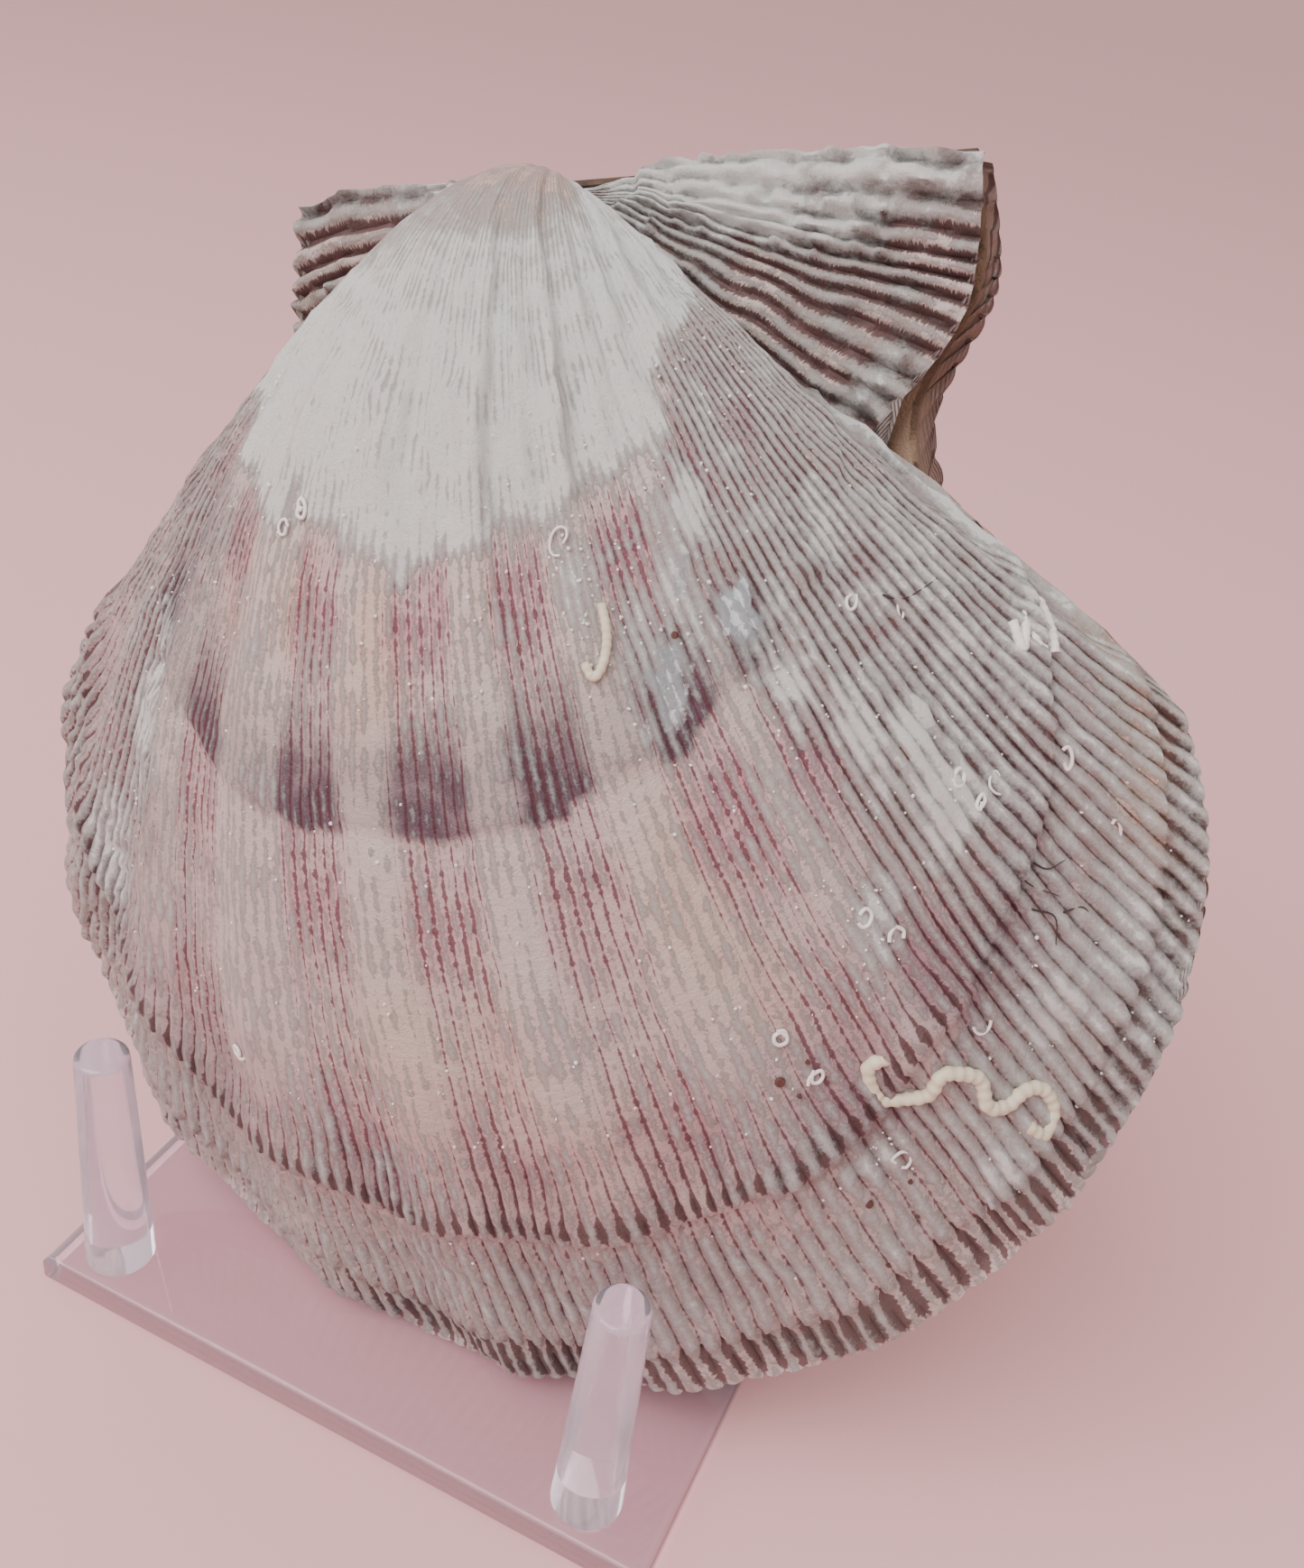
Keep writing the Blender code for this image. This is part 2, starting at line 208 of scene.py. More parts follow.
class ScallopShellSettings(bpy.types.PropertyGroup):
    riblet_pitch: FloatProperty(
        name="Riblet pitch", description="Distance between the fine ribs at the margin",
        default=2.45 * MM, min=1.5 * MM, max=5 * MM, subtype="DISTANCE", unit="LENGTH")
    riblet_height: FloatProperty(
        name="Riblet height", description="Height of the fine ribs at the margin",
        default=0.62 * MM, min=0, max=2 * MM, subtype="DISTANCE", unit="LENGTH")
    main_rib_height: FloatProperty(
        name="Main rib height", description="Half the rise from groove to crest at the margin",
        default=1.5 * MM, min=0, max=4 * MM, subtype="DISTANCE", unit="LENGTH")
    ear_rib_pitch: FloatProperty(
        name="Ear rib pitch", description="Distance between the ribs of the ears",
        default=2.6 * MM, min=1.5 * MM, max=6 * MM, subtype="DISTANCE", unit="LENGTH")
    rows: IntProperty(
        name="Rows", description="Rows of the mesh from the beak to the margin",
        default=100, min=40, max=110)
    cream: colour_property("Cream", "The broad ribs", "#BEB3AC")
    sand: colour_property("Sand", "Warm tint of the broad ribs", "#CFA68C")
    rose: colour_property("Rose", "The grooves between the ribs", "#B27B85")
    plum: colour_property("Plum", "The dark growth band", "#5B4752")
    wine: colour_property("Wine", "The fine lines in the grooves", "#5F2A38")
    umber: colour_property("Umber", "The dashes near the margin and the ears", "#37160F")
    chalk: colour_property("Chalk", "The worn white lime over the beak", "#F3F4EF")
    crust: colour_property("Crust", "Bluish white growths", "#C6CACD")
    tan: colour_property("Tan", "The back half", "#A58870")
    lining: colour_property("Lining", "The inside of the halves", "#6B4A52")


class ScallopStandSettings(bpy.types.PropertyGroup):
    tint: colour_property("Tint", "Tint of the clear acrylic", "#F6EEF6")
    shade: colour_property("Shade", "Tint of the light that passes the acrylic", "#FAF3F7")
    roughness: FloatProperty(
        name="Roughness", description="Polish of the acrylic", default=0.03, min=0, max=1,
        subtype="FACTOR")


class ScallopStageSettings(bpy.types.PropertyGroup):
    floor: colour_property("Floor", "The pale floor", "#E3AFAF")
    light: FloatProperty(
        name="Light", description="Power of the large soft light", default=11.5, min=0,
        unit="POWER")


def smooth(value, start, end):
    """0 before start and 1 after end, with a soft change between."""
    part = np.clip((value - start) / (end - start), 0, 1)
    return part * part * (3 - 2 * part)


def bell(value, middle, half_width):
    return np.exp(-((value - middle) / half_width) ** 2)


def lumps(points, cell, seed):
    """Smooth noise from -1 to 1 at each point, with lumps about a cell across."""
    lattice = np.random.default_rng(seed).uniform(-1, 1, (32, 32, 32))
    spots = points / cell
    base = np.floor(spots).astype(int)
    part = spots - base
    part = part * part * (3 - 2 * part)
    total = np.zeros(points.shape[:-1])
    for corner in np.ndindex(2, 2, 2):
        share = np.prod([part[..., k] if corner[k] else 1 - part[..., k] for k in range(3)], axis=0)
        total += share * lattice[tuple((base[..., k] + corner[k]) % 32 for k in range(3))]
    return total


def along_curve(points, steps):
    """A smooth curve through the points, as points with their place from 0 to 1."""
    spots = np.array(points, float)
    padded = np.vstack([2 * spots[0] - spots[1], spots, 2 * spots[-1] - spots[-2]])
    place = np.linspace(0, len(spots) - 1, steps)
    first = np.minimum(place.astype(int), len(spots) - 2)
    t = (place - first)[:, None]
    a, b, c, d = (padded[first + k] for k in range(4))
    curve = b + 0.5 * t * (c - a + t * (2 * a - 5 * b + 4 * c - d + t * (3 * (b - c) + d - a)))
    return curve, place / (len(spots) - 1)


def arc_lengths(points):
    steps = np.linalg.norm(np.diff(points, axis=0), axis=1)
    return np.concatenate([[0], np.cumsum(steps)])


def disc_reach(angle):
    """How far the disc's margin is from the beak, at angles in degrees."""
    turn = np.radians(angle)
    along = DISC_CENTRE[0] * np.cos(turn) + DISC_CENTRE[1] * np.sin(turn)
    reach = along + np.sqrt(along ** 2 - np.dot(DISC_CENTRE, DISC_CENTRE) + DISC_RADIUS ** 2)
    reach = reach * (1 - REAR_DRAW_IN * smooth(angle, REAR_FROM, SHOULDER_ANGLES[1]))
    near = np.minimum(angle - SHOULDER_ANGLES[0], SHOULDER_ANGLES[1] - angle) / SHOULDER_SPAN
    return reach - SHOULDER_CUT * np.maximum(1 - near, 0) ** 2


def disc_point(angle):
    reach = disc_reach(angle)
    turn = np.radians(angle)
    return np.stack([reach * np.cos(turn), reach * np.sin(turn)], axis=-1)


def rib_wave(angle):
    """The main ribs' height at each angle: -1 in a groove, 1 on a crest."""
    grooves = np.array(GROOVE_ANGLES)
    wide = np.concatenate([[2 * grooves[0] - grooves[1]], grooves, [2 * grooves[-1] - grooves[-2]]])
    phase = np.interp(angle, wide, np.arange(len(wide)))
    first, last = SHOULDER_ANGLES
    return -np.cos(2 * pi * phase) * np.clip(np.minimum(angle - first, last - angle) / RIB_FADE, 0, 1)


def drifted(size, angle):
    """Where a rib of the margin stands at a growth size, as the ribs swing while they grow."""
    first, last = SHOULDER_ANGLES
    drift = np.interp(angle, GROOVE_ANGLES, GROOVE_DRIFT)
    drift = drift * np.clip(np.minimum(angle - first, last - angle) / DRIFT_FADE, 0, 1)
    back = DRIFT_NONE_AT - np.maximum(size, DRIFT_FROM)
    return np.clip(angle + drift * back / DRIFT_SPAN, first, last)


def grown(size, u, v, lift, pole=0.0, depth=1.0, ear=0.0):
    """The outer surface in shell coordinates: a margin point rolled back to its growth size."""
    turn = COIL * np.log(1 / size)
    reach = v - pole
    away = size * (reach * depth * np.sin(turn) + lift * np.cos(turn)) + ear * size ** EAR_SWELL
    return np.stack(np.broadcast_arrays(
        size * u, pole + size * (reach * np.cos(turn) - lift * np.sin(turn)), away), axis=-1)


def shell_to_part(u, v, w, side):
    """Shell coordinates in millimetres to points of the part; w is away from the other half."""
    low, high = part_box("hinge_ligament")
    middle = (BAND_SPAN[0] + BAND_SPAN[1]) / 2
    above = HINGE_V - JOINT_GAP - BAND_HEIGHT / 2
    beak = (low + high) / 2 - (HINGE_WAY * middle + MARGIN_WAY * above) * MM
    front = side * (w + HALVES_GAP / 2)
    ways = [np.array(way) for way in (HINGE_WAY, MARGIN_WAY, FRONT_WAY)]
    return np.array(beak) + MM * (
        u[..., None] * ways[0] + v[..., None] * ways[1] + front[..., None] * ways[2])


class Half:
    """The growth of one half: columns run along its margin and rows from beak to margin."""

    def __init__(self, settings, front_ear, side, columns_per_riblet, rows):
        self.side = side
        self.rib_height = settings.main_rib_height / MM
        self.riblet_height = settings.riblet_height / MM
        first, last = SHOULDER_ANGLES
        fine = np.linspace(first, last, 4000)
        arc = arc_lengths(disc_point(fine))
        riblets = round(arc[-1] / (settings.riblet_pitch / MM))
        count = riblets * columns_per_riblet + 1
        angle = np.interp(np.linspace(0, arc[-1], count), arc, fine)
        parts = [
            self.ear_columns(front_ear, settings.ear_rib_pitch / MM, columns_per_riblet),
            self.edge_columns(front_ear[-1], disc_point(np.array(first)), first, columns_per_riblet),
            self.disc_columns(angle, riblets),
            self.edge_columns(REAR_EAR[-1], disc_point(np.array(last)), last, columns_per_riblet, True),
            self.ear_columns(REAR_EAR, settings.ear_rib_pitch / MM, columns_per_riblet - 1, True),
        ]
        for name in parts[0]:
            setattr(self, name, np.concatenate([part[name] for part in parts]))
        self.size = self.row_sizes(rows)

    @staticmethod
    def ear_columns(outline, pitch, per_rib, rear=False):
        """Columns along an ear's outline, from the hinge line to the disc."""
        length = arc_lengths(np.array(outline))[-1]
        ribs = round(length / pitch)
        spots, place = along_curve(outline, ribs * per_rib + 1)
        spots, place = spots[:-1], place[:-1]
        made = dict(
            u=spots[:, 0], v=spots[:, 1], on_disc=place * 0, ear=place * 0 + EAR_THICKNESS,
            pole=HINGE_V * (1 - place), depth=place * 0 + EAR_DEPTH, angle=place * 0 + EAR_ANGLES[0],
            riblet=place * ribs + 0.5, on_ear=place * 0 + 1, ear_place=place)
        if rear:
            made["angle"] = place * 0 + EAR_ANGLES[1]
            made = {name: value[::-1] for name, value in made.items()}
        return made

    @staticmethod
    def edge_columns(start, end, angle, per_rib, rear=False):
        """Columns across the fold between an ear and the disc."""
        part = np.arange(2 * per_rib) / (2 * per_rib)
        if rear:
            part = part[1:]
        spots = np.array(start) * (1 - part[:, None]) + end * part[:, None]
        fade = np.maximum(0, 1 - 2 * part)
        made = dict(
            u=spots[:, 0], v=spots[:, 1], on_disc=part * 0, ear=EAR_THICKNESS * fade,
            pole=part * 0, depth=1 - (1 - EAR_DEPTH) * fade, angle=part * 0 + angle,
            riblet=part * 2, on_ear=fade ** 2, ear_place=part * 0 + 1)
        if rear:
            made = {name: value[::-1] for name, value in made.items()}
        return made

    @staticmethod
    def disc_columns(angle, riblets):
        """Columns along the disc's margin."""
        spots = disc_point(angle)
        none = angle * 0
        return dict(
            u=spots[:, 0], v=spots[:, 1], on_disc=none + 1, ear=none, pole=none, depth=none + 1,
            angle=angle, riblet=np.linspace(0, riblets, len(angle)), on_ear=none, ear_place=none + 1)

    @staticmethod
    def row_sizes(rows):
        """Growth sizes, closer together where the surface changes quickly."""
        fine = np.linspace(BEAK_SIZE, 1, 2000)
        crowd = 1 + 1.2 * bell(fine, 0.53, 0.03) + 1.5 * bell(fine, 0.83, 0.05)
        crowd += 1.2 * smooth(fine, 0.9, 0.96) + 1.5 * bell(fine, BEAK_SIZE, 0.06)
        place = np.concatenate([[0], np.cumsum((crowd[1:] + crowd[:-1]) / 2)])
        return np.interp(np.linspace(0, place[-1], rows), place, fine)

    def surface(self):
        """The smooth outer surface and its outward normals, as rows by columns."""
        size = self.size[:, None]
        moved = disc_point(drifted(size, self.angle))
        u = np.where(self.on_disc, moved[..., 0], self.u)
        v = np.where(self.on_disc, moved[..., 1], self.v)
        lift = self.side * self.rib_height * rib_wave(self.angle) * self.on_disc
        points = grown(size, u, v, lift, self.pole, self.depth, self.ear)
        rise = self.on_ear * smooth(-self.ear_place, -0.3, 0) * smooth(size, 0.12, 0.4)
        points[..., 1] -= TOP_EDGE_RISE * rise * (1 - 0.85 * smooth(size, 0.75, 1))
        across = np.gradient(points, axis=1)
        growing = np.gradient(points, axis=0)
        normals = np.cross(across, growing)
        normals /= np.maximum(np.linalg.norm(normals, axis=-1, keepdims=True), 1e-9)
        if normals[len(self.size) // 2, len(self.angle) // 2, 2] < 0:
            normals = -normals
        return points, normals


def cord(phase, width=0.92):
    """A round cord over each whole step of the phase, this share of the step wide."""
    across = (2 * (phase % 1) - 1) / width
    return np.sqrt(np.maximum(0, 1 - across * across))


def strongest(*marks):
    """The largest of several marks at each point."""
    return reduce(np.maximum, marks)


def patches(size, angle, places):
    """The strongest of several soft spots, each a size, angle, two half widths and strength."""
    total = np.zeros(np.broadcast(size, angle).shape)
    for at_size, at_angle, half_size, half_angle, strength in places:
        spot = np.exp(-((size - at_size) / half_size) ** 2 - ((angle - at_angle) / half_angle) ** 2)
        total = np.maximum(total, strength * spot)
    return total


# Spots of the right half, each a growth size, an angle, its two half widths and its strength
CHALK_PATCHES = (
    (0.40, 58.0, 0.05, 3.0, 0.95), (0.45, 62.5, 0.05, 2.6, 0.8), (0.535, 56.5, 0.05, 3.2, 0.95),
    (0.61, 54.0, 0.06, 3.0, 0.8), (0.66, 51.0, 0.04, 2.6, 1.0), (0.71, 51.5, 0.04, 3.0, 0.95),
    (0.46, 67.5, 0.06, 3.0, 0.6), (0.70, 59.5, 0.04, 2.0, 0.7), (0.62, 125.0, 0.10, 5.0, 0.8),
    (0.80, 126.0, 0.08, 5.0, 0.7), (0.56, 126.0, 0.05, 4.0, 0.5), (0.88, 54.0, 0.05, 4.0, 0.75),
    (0.92, 61.0, 0.03, 2.5, 0.7), (0.40, 71.5, 0.04, 3.0, 0.6), (0.84, 67.5, 0.02, 2.0, 0.8),
    (0.79, 37.0, 0.05, 3.5, 0.9), (0.97, 50.0, 0.03, 5.0, 0.5), (0.36, 45.0, 0.06, 6.0, 0.5),
)
CRUST_PATCHES = (
    (0.48, 66.4, 0.025, 2.6, 1.0), (0.478, 58.1, 0.028, 3.0, 1.0), (0.44, 62.0, 0.02, 2.0, 0.6),
)
SAND_PATCHES = (
    (0.41, 92.5, 0.05, 3.0, 0.8), (0.40, 103.0, 0.04, 3.0, 0.8), (0.42, 113.0, 0.05, 3.0, 0.7),
    (0.45, 94.0, 0.03, 3.0, 0.5), (0.60, 70.0, 0.08, 3.0, 0.5), (0.69, 92.5, 0.08, 4.0, 0.4),
    (0.68, 86.0, 0.05, 3.0, 0.5), (0.68, 68.0, 0.04, 2.0, 0.5), (0.39, 80.0, 0.03, 4.0, 0.4),
    (0.76, 82.0, 0.05, 8.0, 0.4),
)
PLUM_PATCHES = (
    (0.46, 124.0, 0.07, 4.5, 1.0), (0.49, 116.0, 0.04, 3.0, 0.6), (0.80, 54.0, 0.05, 6.0, 1.0),
    (0.72, 46.0, 0.06, 5.0, 0.6), (0.66, 121.0, 0.05, 4.0, 0.6), (0.86, 128.0, 0.05, 6.0, 0.7),
    (0.80, 66.0, 0.04, 4.0, 0.7),
)

# Knobs of the white area by size and angle, and ridges by margin angle and height
KNOBS = ((0.276, 96.7), (0.276, 83.6), (0.314, 93.7))
RIDGES = ((106.3, 0.55), (118.6, 0.7), (93.0, 0.2), (72.0, 0.25))


def wandering(half, points):
    """Each point's place across the riblets, which wander a little as they grow."""
    wander = (0.14 * lumps(points, 7, 11) + 0.07 * lumps(points, 2.4, 12)) * half.on_disc
    wander = wander + 0.3 * lumps(points, 5, 13) * half.on_ear
    return np.maximum(half.riblet + wander, 0.001)


def laid_out(half, points, noises):
    """What both halves' marks start from: growth sizes, shares of disc and ear, riblets,
    degrees to the nearest groove, and noise for each cell and seed."""
    size = np.repeat(half.size[:, None], len(half.angle), axis=1)
    disc = 1 - half.on_ear + size * 0
    ear = half.on_ear + size * 0
    nearest = np.min(np.abs(half.angle[:, None] - np.array(GROOVE_ANGLES)), axis=-1)
    return size, disc, ear, wandering(half, points), nearest, [lumps(points, *noise) for noise in noises]


def right_half_marks(half, points):
    """The right half's relief in millimetres and its colour marks."""
    size, disc, ear, riblet, nearest, (broad, middling, small) = laid_out(
        half, points, ((9, 1), (3.2, 2), (1.3, 3)))
    angle = drifted(size, half.angle)

    # Where things are: grooves, the larger ear's side, the smaller one's, and the growth lines
    groove = 1 - smooth(nearest + 0.5 * middling, GROOVE_HALF_WIDTH - 1.2, GROOVE_HALF_WIDTH + 0.9)
    groove = groove * (1 - 0.4 * smooth(half.angle, 118, 122)) * (half.angle < RAYS_END)
    third = 1 - smooth(angle + 1.5 * middling, 53, 61)
    left = smooth(angle + 1.5 * middling, 115, 123)
    check = np.interp(angle, *zip(*CHECK_LINE)) + 0.005 * broad
    dash = np.interp(angle, *zip(*DASH_LINE)) + 0.005 * broad
    start = 0.350 - 0.055 * third + 0.010 * middling + 0.010 * small + 0.012 * broad
    begun = smooth(size, start - 0.02, start + 0.05)
    outer = smooth(size, dash - 0.07, dash + 0.01)
    tip = 0.938 + 0.008 * cord(riblet) + 0.006 * broad

    # Relief: riblets, worn folds, growth steps, ridges, powder and knobs
    white = 1 - smooth(size, start, start + 0.02)
    ribbed = 0.16 + 0.4 * groove + 1.15 * third + 0.8 * outer + 0.45 * left
    ribbed = np.minimum(ribbed, 1.15) * np.maximum(begun, 0.5 * third * smooth(size, 0.16, 0.3))
    relief = half.riblet_height * size * ribbed * cord(riblet) * (1 + 0.25 * small) * disc
    folds = np.cos(2 * pi * (riblet / 6 + 0.6 * broad))
    folds = folds + 0.35 * np.cos(2 * pi * (riblet / 2.6 + middling))
    folds = folds * (0.45 + 0.55 * (1 - smooth(angle, 75, 105)))
    relief += 1.5 * size * (1 - begun) * smooth(size, 0.05, 0.16) * folds * disc
    relief += 0.30 * smooth(size, check - 0.05, check) * (size < check) * disc
    relief += 0.85 * smooth(size, dash - 0.05, dash + 0.005) * (size < dash + 0.009) * disc
    relief += 0.7 * smooth(size, 0.895, tip) * (size < tip) * disc * (1 - 0.8 * left)
    for at_angle, height in RIDGES:
        relief += height * size * bell(half.angle, at_angle, 1.5) * begun * (1 - outer) * disc
    spots = patches(size + 0.012 * small, angle + 1.3 * small, CHALK_PATCHES)
    rough = 1 + 1.1 * white + 1.2 * left * smooth(size, 0.8, 0.9)
    rough = rough + 1.2 * smooth(spots, 0.3, 0.7)
    relief += (0.19 * middling + 0.12 * small) * rough * smooth(size, 0.08, 0.25)
    for at_size, at_angle in KNOBS:
        relief += bell(size, at_size, 0.012) * bell(angle, at_angle, 1.6) * disc

    # Chalk and crust
    beyond = smooth(size, dash + 0.01, dash + 0.03) * (size < tip)
    chalk = strongest(
        (0.90 + 0.10 * middling + 0.12 * small) * white, spots * begun,
        third * (0.46 + 0.16 * broad + 0.08 * middling) * begun,
        (0.17 + 0.14 * broad + 0.06 * middling) * begun,
        (0.26 + 0.12 * broad + 0.2 * third) * beyond)
    crust = patches(size + 0.012 * small, angle + 1.6 * small, CRUST_PATCHES)
    relief += 0.5 * smooth(crust, 0.35, 0.75) * (1 + 0.8 * small) * disc
    relief += 0.22 * smooth(spots + 0.3 * small, 0.5, 0.8) * begun * disc

    # Pigments
    band = smooth(size, check - 0.09, check - 0.02) * (size < check)
    before = smooth(size, dash - 0.12, dash - 0.01) * (size < dash + 0.006)
    near_beak = (1 - smooth(size, 0.09, 0.24)) * smooth(angle, 50, 60)
    plum = strongest(
        band * (0.38 + 0.75 * groove) * (1 + 0.35 * broad) * (1 - 0.6 * third),
        before * (0.42 + 0.25 * broad) * (0.75 + 0.25 * groove),
        0.8 * patches(size, angle, PLUM_PATCHES),
        (0.18 + 0.12 * broad) * np.maximum(third, 0.8 * left) * begun, 0.16 * beyond)
    swell = bell(size, 0.39, 0.04) + 0.8 * bell(size, 0.575, 0.05) + 0.7 * bell(size, 0.76, 0.06)
    rose = strongest(
        groove * np.minimum(1, 0.28 + 0.8 * swell) * (0.7 + 0.3 * broad),
        0.32 * smooth(size, 0.66, 0.76) * (1 - smooth(size, 0.84, 0.9)), 0.10 + 0.10 * broad)
    rose = np.maximum(rose * begun, near_beak * (0.26 + 0.14 * middling))
    sand = strongest(
        patches(size, angle, SAND_PATCHES) * 0.7 * begun + 0.03,
        0.75 * (1 - smooth(angle, 42, 50)) * smooth(size, 0.85, 0.93),
        near_beak * (0.50 - 0.2 * middling))
    chalk = chalk * (1 - 0.75 * near_beak)

    # Dark lines between the riblets, and the dashes that end them
    dashes = bell(size, dash - 0.004, 0.010 + 0.004 * small) * (1 - 0.7 * third)
    tips = smooth(size, tip - 0.002, tip + 0.010) * (1 - smooth(size, 0.985, 1.01))
    tips *= (0.35 + 0.65 * (1 - smooth(angle, 94, 104))) * (0.85 + 0.4 * broad)
    lines = strongest(
        groove * begun * (0.07 + 0.12 * np.minimum(1, swell + 1.3 * band)) * (1 + 0.35 * middling),
        third * (0.18 + 0.05 * broad) * begun * (1 - 0.45 * beyond),
        left * (0.14 + 0.05 * broad) * begun, 0.33 * dashes, 0.40 * tips, 0.07 * outer, 0.11 * before)
    umber = strongest(dashes, tips, 0.75 * third * smooth(size, 0.3, 0.6), 0.6 * band, 0.5 * before)

    # Ears
    place = half.ear_place
    rear = half.angle >= EAR_ANGLES[1]
    top = 1 - smooth(place, 0.05, 0.2)
    crusted = bell(size, 0.48, 0.25) * bell(place, 0.27, 0.2) * (1 - rear)
    ear_chalk = 0.30 + 0.5 * top + 1.0 * crusted + 0.30 * broad + 0.24 * middling - 0.10 * rear
    relief += (ear * 1.25 * (0.14 + size) * cord(riblet, 0.80) * smooth(size, 0.05, 0.25)
               * (1 + 0.3 * small))
    relief += (ear * smooth(ear_chalk + 0.5 * small, 0.45, 1.0) * smooth(size, 0.1, 0.3)
               * (1 + 0.5 * small))
    ear_lines = (0.30 + 0.06 * middling) * smooth(size, 0.04, 0.12)
    marks = dict(chalk=chalk, crust=crust, plum=plum, rose=rose, sand=sand, lines=lines, umber=umber)
    ear_marks = dict(
        chalk=ear_chalk, crust=0, plum=0.12 + 0.08 * broad, rose=0.1, sand=0.2 + 0.2 * broad,
        lines=ear_lines, umber=0.75 + 0.25 * middling)
    marks = {key: np.where(ear > 0.5, ear_marks[key], value) for key, value in marks.items()}
    return relief, dict(marks, riblet=riblet)


def left_half_marks(half, points):
    """The left half's relief and colour marks: ribbed all over, tan with umber flecks."""
    size, disc, ear, riblet, nearest, (broad, middling, small) = laid_out(
        half, points, ((11, 4), (3.4, 5), (1.4, 6)))
    crest = smooth(nearest, GROOVE_HALF_WIDTH - 0.8, GROOVE_HALF_WIDTH + 1.2)
    begun = smooth(size, 0.1, 0.3)
    relief = (half.riblet_height * size * cord(riblet) * disc + 0.13 * middling + 0.09 * small) * begun
    for step in LEFT_HALF_STEPS:
        place = step + 0.006 * broad + 0.004 * cord(riblet)
        relief += 0.45 * smooth(size, place - 0.04, place) * (size < place) * disc
    relief += ear * (0.14 + size) * cord(riblet, 0.78) * smooth(size, 0.05, 0.25)
    flecks = smooth(np.sin(size * 46 + 2.2 * broad + 0.8 * middling), -0.2, 0.9)
    marks = dict(
        chalk=0.02 + 0.16 * broad + 0.85 * (1 - smooth(size, 0.12, 0.26)), crust=size * 0,
        plum=np.maximum(0.5 * smooth(broad, 0.0, 0.6) * (1 - crest), 0.55 * ear), rose=size * 0 + 0.12,
        sand=0.3 + 0.3 * middling + 0.25 * crest, lines=(0.10 + 0.17 * flecks + 0.05 * middling) * begun,
        umber=0.55 + 0.45 * flecks)
    return relief, dict(marks, riblet=riblet)


def deselect_all():
    if bpy.context.object and bpy.context.object.mode != "OBJECT":
        bpy.ops.object.mode_set(mode="OBJECT")
    bpy.ops.object.select_all(action="DESELECT")


def select_only(item):
    deselect_all()
    item.select_set(True)
    bpy.context.view_layer.objects.active = item


def new_shape(name):
    """Names the object that a bpy.ops call has just made."""
    item = bpy.context.object
    item.name = item.data.name = name
    return item


def from_bmesh(bm, name):
    """Makes an object in the scene of a finished bmesh."""
    mesh = bpy.data.meshes.new(name)
    bm.to_mesh(mesh)
    bm.free()
    item = bpy.data.objects.new(name, mesh)
    bpy.context.scene.collection.objects.link(item)
    return item


def bevel_where(piece, chosen, offset, segments):
    """Rounds the edges of a piece that a test picks."""
    bpy.ops.object.mode_set(mode="EDIT")
    bpy.ops.mesh.select_all(action="DESELECT")
    bm = bmesh.from_edit_mesh(piece.data)
    for edge in bm.edges:
        edge.select = chosen(edge)
    bmesh.update_edit_mesh(piece.data)
    bpy.ops.mesh.bevel(offset=offset, segments=segments, affect="EDGES")
    bpy.ops.object.mode_set(mode="OBJECT")


def grid_on(points, name):
    """A grid primitive whose vertices are laid on rows by columns of points."""
    rows, columns = points.shape[:2]
    deselect_all()
    bpy.ops.mesh.primitive_grid_add(x_subdivisions=columns - 1, y_subdivisions=rows - 1)
    sheet = new_shape(name)
    sheet.data.vertices.foreach_set("co", points.reshape(-1, 3).astype(np.float32).ravel())
    sheet.data.update()
    return sheet


def zip_edges(bm, first, second):
    """Joins two open runs of vertices, whatever their counts, with a strip of triangles."""
    runs = []
    for run in (first, second):
        steps = arc_lengths(np.array([vertex.co for vertex in run]))
        runs.append(steps / steps[-1])
    i = j = 0
    while i < len(first) - 1 or j < len(second) - 1:
        ahead = i < len(first) - 1 and (j == len(second) - 1 or runs[0][i + 1] <= runs[1][j + 1])
        corners = (first[i], first[i + 1], second[j]) if ahead else (first[i], second[j + 1], second[j])
        bm.faces.new(corners).material_index = 1
        i, j = (i + 1, j) if ahead else (i, j + 1)


def margin_inward(half):
    """The way into the shell across the margin at each column, in the plane of the halves."""
    way = np.gradient(np.stack([half.u, half.v], axis=-1), axis=0)
    way /= np.maximum(np.linalg.norm(way, axis=1, keepdims=True), 1e-9)
    return np.stack([-way[:, 1], way[:, 0]], axis=-1)


